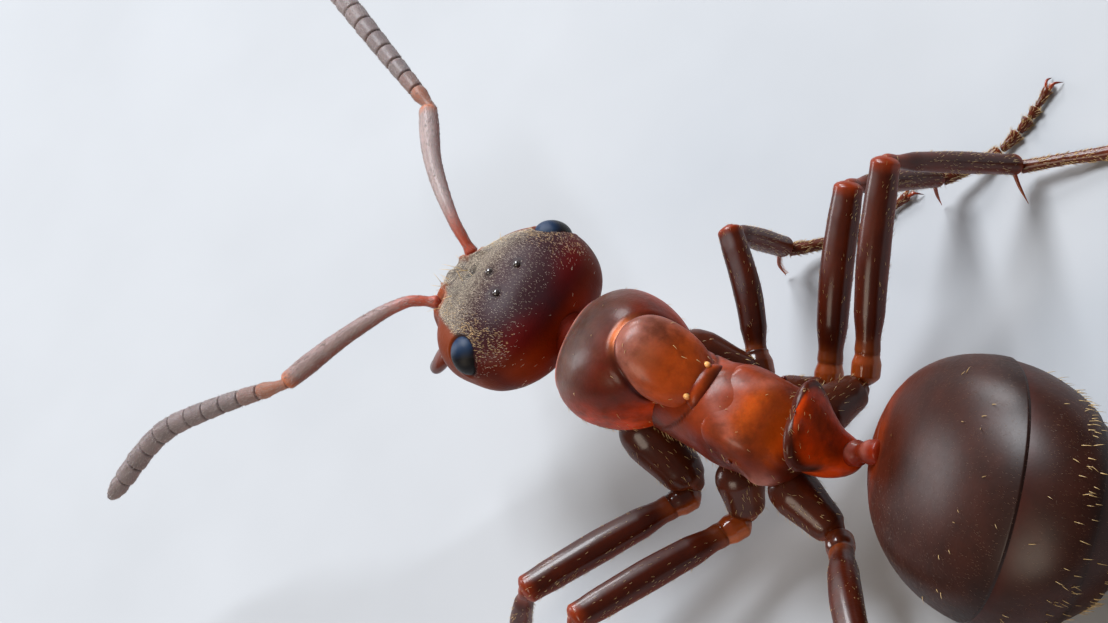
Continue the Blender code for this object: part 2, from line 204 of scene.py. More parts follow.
def heading(length, bearing, lift):
    """The way to go for a length at a bearing from +X and a lift from level, in degrees."""
    flat = length * cos(radians(lift))
    return np.array((flat * cos(radians(bearing)), flat * sin(radians(bearing)),
                     length * sin(radians(lift))))


def crowded(count, edge=0.0):
    """Steps from edge to 1 - edge, eased so that they crowd towards both ends."""
    return 0.5 - 0.5 * np.cos(np.pi * np.linspace(edge, 1 - edge, count))


def angles_round(sides):
    return 2 * np.pi * (np.arange(sides) + 0.5) / sides


def smooth_rows(rows, t):
    """Rows at every t (0 to 1) on a Catmull-Rom curve through rows, spaced by their distances."""
    rows = np.array(rows, float)
    marks = np.concatenate(([0.0], np.cumsum(np.linalg.norm(np.diff(rows, axis=0), axis=1))))
    last = len(rows) - 1
    before, after = np.maximum(np.arange(last + 1) - 1, 0), np.minimum(np.arange(last + 1) + 1, last)
    slopes = (rows[after] - rows[before]) / (marks[after] - marks[before])[:, None]
    place = np.clip(t, 0.0, 1.0) * marks[-1]
    i = np.clip(np.searchsorted(marks, place, side="right") - 1, 0, last - 1)
    span = (marks[i + 1] - marks[i])[:, None]
    s = (place - marks[i])[:, None] / span
    return ((2 * s**3 - 3 * s**2 + 1) * rows[i] + (s**3 - 2 * s**2 + s) * span * slopes[i]
            + (3 * s**2 - 2 * s**3) * rows[i + 1] + (s**3 - s**2) * span * slopes[i + 1])


def placed(points, matrix):
    """Points of any array shape through a 4 by 4 matrix."""
    m = np.array(matrix)
    return points @ m[:3, :3].T + m[:3, 3]


class Skin:
    """A tube-like surface: rings of points, closed by a fan at each end.

    local and world are arrays of (ring, side, xyz) in millimetres, t runs from ring to ring
    and angle round each ring, and tint is one colour or an array of a colour for each point.
    """

    def __init__(self, local, t, angle, matrix=None):
        self.local = local
        self.world = local if matrix is None else placed(local, matrix)
        self.t = np.broadcast_to(t[:, None], local.shape[:2])
        self.angle = np.broadcast_to(angle[None, :], local.shape[:2])
        self.tint = (1.0, 1.0, 1.0)

    @property
    def xyz(self):
        """The points' x, y and z in the skin's own frame."""
        return np.moveaxis(self.local, 2, 0)

    def normals(self):
        along = np.gradient(self.world, axis=0)
        around = np.roll(self.world, -1, axis=1) - np.roll(self.world, 1, axis=1)
        normal = np.cross(along, around)
        normal /= np.linalg.norm(normal, axis=2, keepdims=True) + TINY
        outward = self.world - self.world.mean(axis=1, keepdims=True)
        return normal if (normal * outward).sum() > 0 else -normal

    def push(self, height):
        """Moves each point out along its normal by height, an array over the points."""
        self.world = self.world + self.normals() * np.asarray(height)[..., None]

    def up(self):
        """How far each point's normal faces up, from -1 to 1."""
        return self.normals()[..., 2]


POLE = 0.02                  # a plate's end rings stay this far, in steps, from its tips


def plate(form, matrix, rings, sides, square=2.2, span=(0.0, 1.0), slope=0.0, swell=0.0):
    """A body plate: a loft along x through form's rows, or only the given span of it."""
    t = span[0] + (span[1] - span[0]) * crowded(rings, POLE)
    x, half_width, top, bottom = smooth_rows(form, t).T
    middle, half_height = (top + bottom) / 2, (top - bottom) / 2
    angle = angles_round(sides)
    c, s = np.cos(angle), np.sin(angle)
    radius = (np.abs(c) ** square + np.abs(s) ** square) ** (-1 / square)
    side, rise = radius * c, radius * s
    local = np.stack([x[:, None] - slope * half_height[:, None] * rise,
                      (half_width[:, None] + swell) * side,
                      middle[:, None] + (half_height[:, None] + swell) * rise], axis=2)
    return Skin(local, t, angle, matrix)


def limb(route, profile, rings, sides, depth=1.0, domes=(0.5, 0.5), on_floor=False):
    """A round limb along route. profile is rows of (t, radius), eased from row to row.

    depth is the thickness up and down as a part of the width, and domes says how round the
    ends are, in radii.
    """
    t = 0.4 * crowded(rings) + 0.6 * np.linspace(0, 1, rings)
    centre = smooth_rows(route, t)
    length = np.linalg.norm(np.diff(centre, axis=0), axis=1).sum()
    along = np.gradient(centre, axis=0)
    along /= np.linalg.norm(along, axis=1, keepdims=True)
    marks, radii = np.array(profile, float).T
    k = np.clip(np.searchsorted(marks, t, side="right") - 1, 0, len(marks) - 2)
    s = (t - marks[k]) / (marks[k + 1] - marks[k])
    ease = 0.5 * s + 0.5 * s * s * (3 - 2 * s)
    radius = radii[k] + (radii[k + 1] - radii[k]) * ease
    for reach, end in ((domes[0], t), (domes[1], 1 - t)):
        dome = max(reach * radii.max() / length, 1e-6)
        inside = np.clip(1 - end / dome, 0.0, 0.985)
        radius = radius * np.sqrt(1 - inside**2)
    if on_floor:
        centre[:, 2] = np.maximum(centre[:, 2], radius * depth)
    across = np.cross(along, (0.0, 0.0, 1.0))
    across /= np.linalg.norm(across, axis=1, keepdims=True)
    over = np.cross(across, along)
    angle = angles_round(sides)
    ring = (np.cos(angle)[None, :, None] * across[:, None, :]
            + depth * np.sin(angle)[None, :, None] * over[:, None, :])
    return Skin(centre[:, None, :] + radius[:, None, None] * ring, t, angle)


def ball(place, size, matrix=None, rings=16, sides=24):
    """An ellipsoid round place, with half sizes size."""
    t = np.linspace(0.02, 0.98, rings)
    angle = 2 * np.pi * np.arange(sides) / sides
    globe = np.stack([np.broadcast_to(np.cos(np.pi * t)[:, None], (rings, sides)),
                      np.sin(np.pi * t)[:, None] * np.cos(angle),
                      np.sin(np.pi * t)[:, None] * np.sin(angle)], axis=2)
    return Skin(globe * np.array(size) + np.array(place), t, angle, matrix)


def nearness(skin, other, reach):
    """1 where skin's points touch other's, falling to 0 at reach."""
    points = other.world.reshape(-1, 3)
    tree = kdtree.KDTree(len(points))
    for k, point in enumerate(points):
        tree.insert(point, k)
    tree.balance()
    far = np.array([tree.find(p)[2] for p in skin.world.reshape(-1, 3)])
    return np.clip(1 - far / reach, 0.0, 1.0).reshape(skin.t.shape)


# ---- meshes
def to_metres(points):
    """Points in the ant's frame, in millimetres, to the part's frame, in metres."""
    return (points + np.array((*CENTRE, 0.0))) * MILLIMETRE


def grid_triangles(rings, sides):
    """Triangles of a closed grid with a pole point after the grid for each end."""
    i, j = np.meshgrid(np.arange(rings - 1), np.arange(sides), indexing="ij")
    a, b = i * sides + j, i * sides + (j + 1) % sides
    c, d = a + sides, b + sides
    body = np.concatenate([np.stack([a, c, b], 2).reshape(-1, 3), np.stack([b, c, d], 2).reshape(-1, 3)])
    k = np.arange(sides)
    first = np.stack([np.full(sides, rings * sides), k, (k + 1) % sides], 1)
    base = (rings - 1) * sides
    last = np.stack([np.full(sides, rings * sides + 1), base + (k + 1) % sides, base + k], 1)
    return np.concatenate([body, first, last])


def linked(name, data):
    """A new object in the scene."""
    thing = bpy.data.objects.new(name, data)
    bpy.context.collection.objects.link(thing)
    return thing


def new_piece(name, points, triangles, material):
    """A smooth piece from arrays, riding on the ant."""
    mesh = bpy.data.meshes.new(name)
    mesh.from_pydata(to_metres(points), [], triangles)
    mesh.shade_smooth()
    mesh.materials.append(material)
    piece = linked(name, mesh)
    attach(piece, "root")
    return piece


def make(name, skins, material, slot, *nodes):
    """One piece from one or more skins, with their colours, standing for nodes."""
    points, triangles, colours = [], [], []
    count = 0
    for skin in skins:
        grid = skin.world.reshape(-1, 3)
        faces = grid_triangles(*skin.t.shape)
        a, b, c = grid[faces[0]]
        if np.dot(np.cross(b - a, c - a), skin.normals().reshape(-1, 3)[faces[0][0]]) < 0:
            faces = faces[:, ::-1]
        triangles.append(faces + count)
        tint = np.broadcast_to(skin.tint, skin.world.shape)
        for rows, values in ((points, skin.world), (colours, tint)):
            rows += [values.reshape(-1, 3), np.array([values[0].mean(axis=0), values[-1].mean(axis=0)])]
        count += len(grid) + 2
    piece = new_piece(name, np.concatenate(points), np.concatenate(triangles), material)
    rgba = np.c_[np.concatenate(colours), np.ones(count)].astype(np.float32)
    layer = piece.data.color_attributes.new("tint", "FLOAT_COLOR", "POINT")
    layer.data.foreach_set("color", rgba.ravel())
    if nodes:
        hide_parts(*nodes)


# ---- materials
def new_material(name):
    material = bpy.data.materials.new(name)
    material.use_nodes = True
    return material, material.node_tree, material.node_tree.nodes["Principled BSDF"]


def fill(tree, node, inputs):
    """Sets a node's inputs: an output is linked, and a plain value is set on the socket itself."""
    for name, value in inputs.items():
        if isinstance(value, bpy.types.NodeSocket):
            tree.links.new(value, node.inputs[name])
        else:
            node.inputs[name].default_value = value


def add_node(tree, kind, inputs, **settings):
    """The outputs of a new node with these settings and inputs."""
    node = tree.nodes.new("ShaderNode" + kind)
    for name, value in settings.items():
        setattr(node, name, value)
    fill(tree, node, inputs)
    return node.outputs


def fixed(tree, per_millimetre):
    """Inputs that fix a texture to the ant, with so many features in each millimetre."""
    return {"Vector": add_node(tree, "TexCoord", {})["Object"], "Scale": per_millimetre / MILLIMETRE}


def noise(tree, per_millimetre, detail=3.0, roughness=0.55):
    inputs = {**fixed(tree, per_millimetre), "Detail": detail, "Roughness": roughness}
    return add_node(tree, "TexNoise", inputs)["Fac"]


def cells(tree, per_millimetre):
    """The net of fine cells that covers an insect's shell."""
    inputs = {**fixed(tree, per_millimetre), "Smoothness": 0.4}
    return add_node(tree, "TexVoronoi", inputs, feature="SMOOTH_F1")["Distance"]


def spread(tree, value, low, high, start=0.3, end=0.7):
    """A value from start to end, spread over low to high."""
    inputs = {"Value": value, "From Min": start, "From Max": end, "To Min": low, "To Max": high}
    return add_node(tree, "MapRange", inputs)["Result"]


def scaled(tree, colour, amount):
    """A colour made brighter or darker."""
    return add_node(tree, "VectorMath", {0: colour, "Scale": amount}, operation="SCALE")["Vector"]


def bump(tree, height, depth, before=None):
    """Relief of the given depth in millimetres, over the relief before it."""
    inputs = {"Strength": 1.0, "Distance": depth * MILLIMETRE, "Height": height}
    if before is not None:
        inputs["Normal"] = before
    return add_node(tree, "Bump", inputs)["Normal"]


COAT_IOR = 2.1               # a strong thin wax layer: bright highlights, little haze at the edges
DEEP_RED = (1.0, 0.22, 0.06)             # how far each colour of light goes into the shell
DEPTH = 0.16                 # and how far red goes, in millimetres


def shell(name, roughness, net, mottle=(3.0, 0.82, 1.18), dent=(7.0, 0.006), translucent=0.0,
          gloss=None, specular=0.5, patch=(0.2, 0.1, 0.1), patches=0.0):
    """Insect shell: tinted, mottled, patched, netted with fine cells and gently uneven.

    mottle is its count in a millimetre and its range of brightness. net and dent are a count and
    a depth in millimetres, gloss the wax layer's weight and roughness, and patches how strong
    the colour patch is.
    """
    material, tree, shader = new_material(name)
    tint = add_node(tree, "VertexColor", {}, layer_name="tint")["Color"]
    where = spread(tree, noise(tree, 2.1, 6.0, 0.62), 0.0, patches, 0.48, 0.68)
    patched = add_node(tree, "Mix", {"Factor": where, "A": tint, "B": (*patch, 1.0)}, data_type="RGBA")
    count, *brightness = mottle
    tone = spread(tree, noise(tree, count, 6.0, 0.6), *brightness)
    uneven = bump(tree, noise(tree, dent[0], 2.0), dent[1])
    fill(tree, shader, {
        "Base Color": scaled(tree, patched["Result"], tone),
        "Roughness": spread(tree, noise(tree, count * 6), roughness - 0.06, roughness + 0.08),
        "Normal": bump(tree, cells(tree, net[0]), net[1], uneven),
        "Specular IOR Level": specular,
    })
    if translucent:
        fill(tree, shader, {"Subsurface Weight": translucent, "Subsurface Radius": DEEP_RED,
                            "Subsurface Scale": DEPTH * MILLIMETRE})
    if gloss:
        fill(tree, shader, {"Coat Weight": gloss[0], "Coat Roughness": gloss[1], "Coat IOR": COAT_IOR})
    return material


def plain_material(name, colour, per_millimetre, low, high, roughness):
    """A material of one colour, made brighter and darker by noise, and its shader."""
    material, tree, shader = new_material(name)
    tone = spread(tree, noise(tree, per_millimetre), low, high)
    fill(tree, shader, {"Base Color": scaled(tree, colour, tone), "Roughness": roughness})
    return material, shader


def hair_material(name, colour, roughness):
    material, shader = plain_material(name, colour, 9.0, 0.7, 1.3, roughness)
    shader.inputs["Specular IOR Level"].default_value = 0.7
    return material


HEAD_SHELL = shell("head_shell", 0.42, net=(60, 0.0022), dent=(22, 0.0022), translucent=0.05,
                   gloss=(0.035, 0.32), specular=0.05)
THORAX_SHELL = shell("thorax_shell", 0.42, mottle=(2.6, 0.62, 1.30), net=(34, 0.0014), dent=(9, 0.004),
                     translucent=0.14, gloss=(0.10, 0.24), specular=0.06, patch=(0.085, 0.018, 0.006),
                     patches=0.75)
GASTER_SHELL = shell("gaster_shell", 0.45, mottle=(3.0, 0.75, 1.25), net=(26, 0.0014), dent=(5, 0.003),
                     gloss=(0.15, 0.36), specular=0.06, patch=(0.020, 0.005, 0.002), patches=0.5)
NECK_SHELL = shell("neck_shell", 0.60, net=(40, 0.003), specular=0.05)
LEG_SHELL = shell("leg_shell", 0.40, net=(30, 0.0014), dent=(7, 0.0025), translucent=0.08,
                  gloss=(0.20, 0.22), specular=0.05, patch=(0.09, 0.012, 0.002), patches=0.5)
AMBER_SHELL = shell("amber_shell", 0.36, net=(24, 0.0010), dent=(7, 0.005), translucent=0.12,
                    gloss=(0.32, 0.11), specular=0.08, patch=(0.15, 0.022, 0.005), patches=0.4)
FEELER_SHELL = shell("feeler_shell", 0.46, net=(60, 0.003), dent=(7, 0.002), translucent=0.06,
                     gloss=(0.08, 0.30), specular=0.16)
EYE_SHELL = shell("eye_shell", 0.17, mottle=(3.0, 0.9, 1.1), net=(2, 0.0), dent=(7, 0.0), specular=0.20)
BEAD_SHELL = shell("bead_shell", 0.08, net=(2, 0.0), dent=(7, 0.0), gloss=(0.6, 0.05))
GOLD_HAIR = hair_material("gold_hair", (0.66, 0.44, 0.18), 0.35)
PALE_HAIR = hair_material("pale_hair", (0.74, 0.64, 0.50), 0.35)
GREY_HAIR = hair_material("grey_hair", (0.34, 0.29, 0.27), 0.4)
DARK_HAIR = hair_material("dark_hair", (0.16, 0.07, 0.025), 0.4)


# ---- hairs
HAIR_STATIONS = ((0.0, 1.0), (0.36, 0.85), (0.72, 0.55))     # how far up, how thick
PATCH = 0.003                # how wide one hair's own place is on the OFBake map

# The hairs of one skin: how many, their least and greatest length and lift in degrees, their
# thickness, how densely they stand over the skin's points, and how far they stray and bend.
Coat = namedtuple("Coat", "skin count length lift thick where stray bend", defaults=(1.0, 12.0, 0.7))


def hair_triangles():
    """Triangles of one hair: a closed base, rings of three points, and the tip."""
    triangles = [(0, 2, 1)]
    top = 3 * (len(HAIR_STATIONS) - 1)
    for ring in range(0, top, 3):
        for k in range(3):
            a, b = ring + k, ring + (k + 1) % 3
            triangles += [(a, b, a + 3), (b, b + 3, a + 3)]
    triangles += [(top + k, top + (k + 1) % 3, top + 3) for k in range(3)]
    return np.array(triangles)


def hairs(name, coats, material, seed):
    """One coat piece: tapered, bent hairs on skins, in a tile of the OFBake map for each skin.

    Hairs lie towards the skin's last ring. One that would pass through the floor is left out.
    """
    rng = np.random.default_rng(seed)
    tiles = int(np.ceil(np.sqrt(len(coats))))
    points, maps = [], []
    for tile, coat in enumerate(coats):
        skin, n = coat.skin, coat.count
        grid, normal = skin.world, skin.normals()
        flow = np.gradient(grid, axis=0)
        rings, sides = skin.t.shape
        beside = np.roll(grid, -1, axis=1)
        area = np.linalg.norm(np.cross(grid[1:] - grid[:-1], beside[:-1] - grid[:-1]), axis=2)
        weight = area * np.broadcast_to(coat.where, (rings, sides))[:-1] + TINY
        cell = rng.choice(weight.size, n, p=(weight / weight.sum()).ravel())
        i, j = cell // sides, cell % sides
        u, v = rng.random((2, n, 1))

        def between(array):
            k = (j + 1) % sides
            return ((array[i, j] * (1 - u) + array[i + 1, j] * u) * (1 - v)
                    + (array[i, k] * (1 - u) + array[i + 1, k] * u) * v)

        def units(vectors):
            return vectors / (np.linalg.norm(vectors, axis=1, keepdims=True) + TINY)

        root, out = between(grid), units(between(normal))
        back = between(flow)
        back = units(back - out * (back * out).sum(axis=1, keepdims=True))
        beside_back = np.cross(out, back)
        stray = radians(coat.stray) * rng.normal(size=(n, 1))
        lie = back * np.cos(stray) + beside_back * np.sin(stray)
        length = rng.uniform(*coat.length, (n, 1))
        lift = np.radians(rng.uniform(*coat.lift, (n, 1)))
        thick = coat.thick * rng.uniform(0.8, 1.2, (n, 1))
        place, last = root - out * 0.4 * thick, 0.0
        across = np.cross(lie, out)
        rows = []
        for far, part in (*HAIR_STATIONS, (1.0, 0.0)):
            slant = lift * (1 - coat.bend * far)
            direction = lie * np.cos(slant) + out * np.sin(slant)
            place = place + direction * length * (far - last)
            last = far
            if part:
                other = np.cross(across, direction)
                rows += [place + thick * part * (across * cos(a) + other * sin(a))
                         for a in (0, 2 * pi / 3, 4 * pi / 3)]
            else:
                rows.append(place)
        points.append(np.stack(rows, axis=1))
        corner = np.array((tile % tiles, tile // tiles), float)
        spot = np.concatenate([(i[:, None] + u) / rings, (j[:, None] + v) / sides], axis=1)
        spot = (corner + 0.02 + 0.95 * spot) / tiles
        step = np.array([((k % 3) / 2, k // 3 / 3) for k in range(len(rows))]) * PATCH
        maps.append(spot[:, None, :] + step[None])
    points, maps = np.concatenate(points), np.concatenate(maps)
    clear = points[..., 2].min(axis=1) > 0
    points, maps = points[clear], maps[clear]
    first = np.arange(len(points))[:, None, None] * points.shape[1]
    triangles = (first + hair_triangles()).reshape(-1, 3)
    piece = new_piece(name, points.reshape(-1, 3), triangles, material)
    layer = piece.data.uv_layers.new(name="OFBake")
    layer.data.foreach_set("uv", maps.reshape(-1, 2)[triangles.ravel()].astype(np.float32).ravel())


# ---- head
def eye_frame(sign):
    """The frame of the left eye (sign 1) or the right one (-1)."""
    x, y, z = EYE_PLACE
    lean = Matrix.Rotation(radians(EYE_TURN) * sign, 4, "X") @ Matrix.Rotation(radians(EYE_SLANT), 4, "Y")
    return HEAD @ Matrix.Translation((x, sign * y, z)) @ lean


def eye_distance(points, sign):
    """How far points of the head are from an eye's middle, in units of its rim."""
    local = placed(points, eye_frame(sign).inverted())
    near = np.sqrt((local[..., 0] / EYE_SIZE[0]) ** 2 + (local[..., 2] / EYE_SIZE[2]) ** 2)
    return np.where(local[..., 1] * sign > -0.5, near, 9.0)


def top_point(skin, x, y):
    """The point and normal on the upper side of a skin nearest to x, y of its own frame."""
    far = (skin.local[..., 0] - x) ** 2 + (skin.local[..., 1] - y) ** 2 + (skin.local[..., 2] < 0) * 9.0
    where = np.unravel_index(far.argmin(), far.shape)
    return skin.world[where], skin.normals()[where]


CHEEK_LINE = (0.59, 0.41, 0.46)          # the bare cheek starts outside a line: x, y and slope
OCELLI = ((-0.08, 0.0), (-0.31, 0.20), (-0.31, -0.20))
SOCKET = (0.59, 0.30, 0.26)


def head_skin():
    """The head with its face: brow ridges, feeler sockets, face plate, eye rims and grooves."""
    skin = plate(HEAD_FORM, HEAD, 230, 260, square=2.3)
    x, y, z = skin.xyz
    side = np.abs(y)
    top = ramp(z, -0.10, 0.12)
    height = -0.022 * hump(x, -0.72, 0.16) * hump(y, 0, 0.32)
    height += -0.010 * hump(y, 0, 0.012) * ramp(x, -0.03, 0.03) * (1 - ramp(x, 0.14, 0.20))
    height += -0.050 * hump(x, 0.25, 0.055) * hump(y, 0, 0.085)
    height += -0.022 * hump(x, 0.385, 0.05) * hump(y, 0, 0.10)
    ridge = 0.165 + 0.42 * (0.56 - x)
    height += 0.040 * hump(side, ridge, 0.026) * ramp(x, 0.20, 0.30) * (1 - ramp(x, 0.56, 0.62))
    pit = np.hypot(x - SOCKET[0], side - SOCKET[1])
    height += -0.085 * hump(pit, 0.0, 0.085) + 0.016 * hump(pit, 0.125, 0.022)
    clypeus = ramp(x, 0.48, 0.53) * (1 - ramp(side, 0.36, 0.44))
    height += 0.020 * clypeus + 0.024 * clypeus * hump(y, 0, 0.040)
    suture = 0.455 + 0.11 * (side / 0.4) ** 2
    height += -0.016 * hump(x, suture, 0.012) * (1 - ramp(side, 0.40, 0.48))
    for ox, oy in OCELLI:
        reach = np.hypot(x - ox, y - oy)
        height += -0.010 * hump(reach, 0.052, 0.014)
    height *= top
    height += -0.045 * hump(x, 0.66, 0.22) * hump(side, 0.52, 0.14) * ramp(z, -0.15, 0.10)
    height += -0.012 * hump(z - 0.12 * x, -0.20, 0.015) * ramp(x, -0.2, 0.1) * (1 - ramp(x, 0.66, 0.74))
    for sign in (1, -1):
        reach = eye_distance(skin.world, sign)
        height += -0.020 * hump(reach, 1.03, 0.08) + 0.007 * hump(reach, 1.22, 0.10)
    skin.push(height)
    return skin


def bare_cheek(skin):
    """1 on the smooth cheeks before and below the eyes, 0 on the hairy top of the head."""
    x, y, z = skin.xyz
    line_x, line_y, slope = CHEEK_LINE
    before = ramp(np.abs(y) - line_y - slope * (line_x - x), -0.02, 0.04) * ramp(x, -0.14, -0.04)
    below = ramp(np.abs(y), 0.45, 0.65) * ramp(-z, -0.12, 0.02)
    return np.maximum(before, below)


def tint_head(skin):
    """Plum black over the top, a pale brow that is partly silvery down and partly painted sheen, blood red
    behind, and orange brown cheeks.
    """
    x, y, z = skin.xyz
    side = np.abs(y)
    pit = np.hypot(x - SOCKET[0], side - SOCKET[1])
    skin.tint = layered(
        (0.034, 0.010, 0.013),
        # pale brow: the silvery down's own tone with painted sheen from the light above
        ((0.110, 0.084, 0.067), ramp(x, -0.30, 0.20) * ramp(z, 0.12, 0.38)),
        ((0.115, 0.003, 0.001), ramp(-x + 0.50 * (side - 0.5), 0.46, 0.86)),
        ((0.085, 0.007, 0.001), ramp(-z, -0.36, -0.10) * ramp(side, 0.45, 0.75)),
        ((0.220, 0.024, 0.001), 0.8 * ramp(-x, 0.50, 0.72) * ramp(-z, -0.26, -0.02)),
        ((0.165, 0.024, 0.001), 0.95 * (bare_cheek(skin) * ramp(x, -0.60, -0.25))),
        ((0.180, 0.020, 0.003), 0.7 * ramp(-z, 0.15, 0.45)),
        (CHESTNUT, 0.6 * ramp(x, 0.66, 0.84)),
        (ORANGE, 0.65 * hump(pit, 0.10, 0.05) * ramp(z, -0.1, 0.1)),
        (SOOT, 0.9 * hump(x, 0.25, 0.08) * hump(y, 0, 0.11) * ramp(z, 0.1, 0.3)),
        *((SOOT, 0.7 * (hump(np.hypot(x - ox, y - oy), 0, 0.06) * ramp(z, 0.1, 0.3))) for ox, oy in OCELLI),
        *((SOOT, 0.85 * hump(eye_distance(skin.world, sign), 1.02, 0.06)) for sign in (1, -1)),
    )


def build_head_down(skin):
    """Short silvery down on the brow and crown, and longer golden hairs by the eyes and cheeks."""
    x, y, z = skin.xyz
    side = np.abs(y)
    bare = np.ones(x.shape)
    for sign in (1, -1):
        bare *= ramp(eye_distance(skin.world, sign), 1.02, 1.10)
    for ox, oy in OCELLI:
        bare *= np.where(z > 0, ramp(np.hypot(x - ox, y - oy), 0.04, 0.06), 1)
    bare *= ramp(np.hypot(x - SOCKET[0], side - SOCKET[1]), 0.09, 0.13)
    bare *= 1 - bare_cheek(skin)
    brow = ramp(x, -0.55, 0.05) * ramp(z, 0.14, 0.26)
    crown = ramp(z, 0.0, 0.25) * (1 - ramp(-x, 0.62, 0.80))
    near_eye = np.maximum(*(hump(eye_distance(skin.world, sign), 1.40, 0.38) for sign in (1, -1)))
    upper = ramp(z, 0.20, 0.34)
    band = hump(side, 0.62, 0.11) * ramp(-x, 0.12, 0.28) * (1 - ramp(-x, 0.60, 0.72)) * ramp(z, 0.12, 0.26)
    front = hump(side, 0.50, 0.12) * hump(x, 0.28, 0.22) * upper
    hairs("down_head", [
        Coat(skin, 11900, (0.011, 0.021), (3, 10), 0.0012, stray=9,
             where=bare * (brow * ramp(x, -0.62, 0.22) * (0.3 + 0.7 * ramp(z, 0.2, 0.34)) + 0.09 * crown)),
        Coat(skin, 300, (0.03, 0.055), (4, 14), 0.0017, stray=20,
             where=0.1 + 0.3 * ramp(-z, 0.1, 0.3)),
    ], PALE_HAIR, seed=3)
    hairs("gold_head", [
        Coat(skin, 700, (0.018, 0.032), (8, 20), 0.0022, stray=9,
             where=bare * (near_eye * upper + 0.9 * band + 0.8 * front)),
        Coat(skin, 14, (0.10, 0.16), (55, 85), 0.0034, stray=40, bend=0.3,
             where=bare * ramp(z, 0.2, 0.35) * ramp(x, 0.1, 0.3)),
        Coat(skin, 40, (0.08, 0.14), (35, 60), 0.0030, stray=20, bend=0.5,
             where=ramp(x, 0.76, 0.86) * (1 - ramp(side, 0.3, 0.4))),
    ], GOLD_HAIR, seed=4)


FACET = 0.105                # an eye facet's width, in radians


def hex_relief(u, v):
    """Rounded bumps on a honeycomb of cells one unit across: 1 at each cell's middle."""
    tall = 3**0.5
    near = np.minimum(np.hypot(u % 1 - 0.5, v % tall - tall / 2),
                      np.hypot((u - 0.5) % 1 - 0.5, (v - tall / 2) % tall - tall / 2))
    return 1 - np.clip(near / 0.55, 0, 1) ** 2


def build_eyes():
    """The compound eyes, faceted, with a painted bluish reflection of the light above on the upper half."""
    for side, sign in SIDES:
        skin = ball((0, 0, 0), EYE_SIZE, eye_frame(sign), rings=150, sides=230)
        globe = skin.local / np.array(EYE_SIZE)
        round_eye = np.arctan2(globe[..., 2], globe[..., 1] * sign)
        along = np.arcsin(np.clip(globe[..., 0], -1, 1))
        skin.push(0.0042 * hex_relief(round_eye * np.cos(along) / FACET, along * 1.25 / FACET))
        # painted reflection: bluish on the upper half of each eye
        colour = blend((0.003, 0.002, 0.002), (0.016, 0.034, 0.076), ramp(globe[..., 2], -0.15, 0.60))
        skin.tint = blend(colour, (0.016, 0.006, 0.004), ramp(np.abs(along), 0.8, 1.4))
        make("compound_eye_" + side, [skin], EYE_SHELL, "eye", "eye_" + side)


def build_ocelli(head):
    """The three small eyes on the crown."""
    beads = []
    for x, y in OCELLI:
        place, _ = top_point(head, x, y)
        bead = ball(place, (0.037, 0.037, 0.030), rings=24, sides=32)
        bead.tint = (0.03, 0.018, 0.014)
        beads.append(bead)
    make("ocelli", beads, BEAD_SHELL, "eye")


def spike(base, tip, radius, bend=(0, 0, 0), sides=12, rings=14):
    """A pointed horn from base to tip, bowed by bend."""
    base, tip = np.array(base, float), np.array(tip, float)
    route = [base, (base + tip) / 2 + np.array(bend), tip]
    profile = ((0, radius), (0.5, radius * 0.72), (1, radius * 0.12))
    return limb(route, profile, rings, sides, domes=(0.1, 0.1))


def build_jaws():
    """Broad triangular jaws with a row of teeth along the inner edge."""
    for side, sign in SIDES:
        route = placed(np.array([(x, sign * y, z) for x, y, z in MANDIBLE_PATH]), HEAD)
        profile = ((0, 0.10), (0.25, 0.13), (0.62, 0.165), (0.88, 0.11), (1, 0.05))
        blade = limb(route, profile, 60, 40, depth=0.48, domes=(0.4, 0.4))
        colour = blend((0.110, 0.016, 0.004), (0.030, 0.008, 0.004), ramp(blade.t, 0.35, 0.90))
        blade.tint = blend(colour, CHESTNUT, 0.5 * ramp(-blade.up(), 0.0, 0.8))
        parts = [blade]
        inner = np.array(HEAD)[:3, :3] @ np.array((0.25, -sign * 1.0, -0.1))
        for k in range(8):
            t = 0.97 - 0.058 * k
            centre = smooth_rows(route, np.array([t]))[0]
            half = np.interp(t, *np.array(profile).T)
            base = centre + inner * half * 0.75
            tooth = spike(base, base + inner * (0.085 if k == 0 else 0.055 - 0.003 * k), 0.024)
            tooth.tint = blend(UMBER, SOOT, ramp(tooth.t, 0.2, 1.0))
            parts.append(tooth)
        make("jaw_" + side, parts, AMBER_SHELL, "amber", "mandible_" + side)


def build_mouth():
    """The lip under the jaws, and the two pairs of jointed palps."""
    lip = ball((0.66, 0, -0.27), (0.20, 0.24, 0.13), HEAD)
    lip.tint = CHESTNUT
    parts = [lip]
    for sign in (1, -1):
        for start, drop, joints, radius in ((0.15, 0.60, 6, 0.026), (0.07, 0.36, 4, 0.022)):
            route = placed(np.array([(0.62, sign * start, -0.34), (0.80, sign * (start + 0.10), -0.46),
                                     (0.82, sign * (start + 0.14), -0.46 - drop * 0.5),
                                     (0.70, sign * (start + 0.12), -0.46 - drop)]), HEAD)
            for k in range(joints):
                section = smooth_rows(route, np.linspace(k / joints, (k + 0.97) / joints, 5))
                joint = limb(section, ((0, radius * 0.7), (0.7, radius), (1, radius * 0.8)), 10, 10)
                joint.tint = blend(CHESTNUT, AMBER, ramp(joint.t, 0.5, 1.0))
                parts.append(joint)
    make("mouthparts", parts, AMBER_SHELL, "amber")


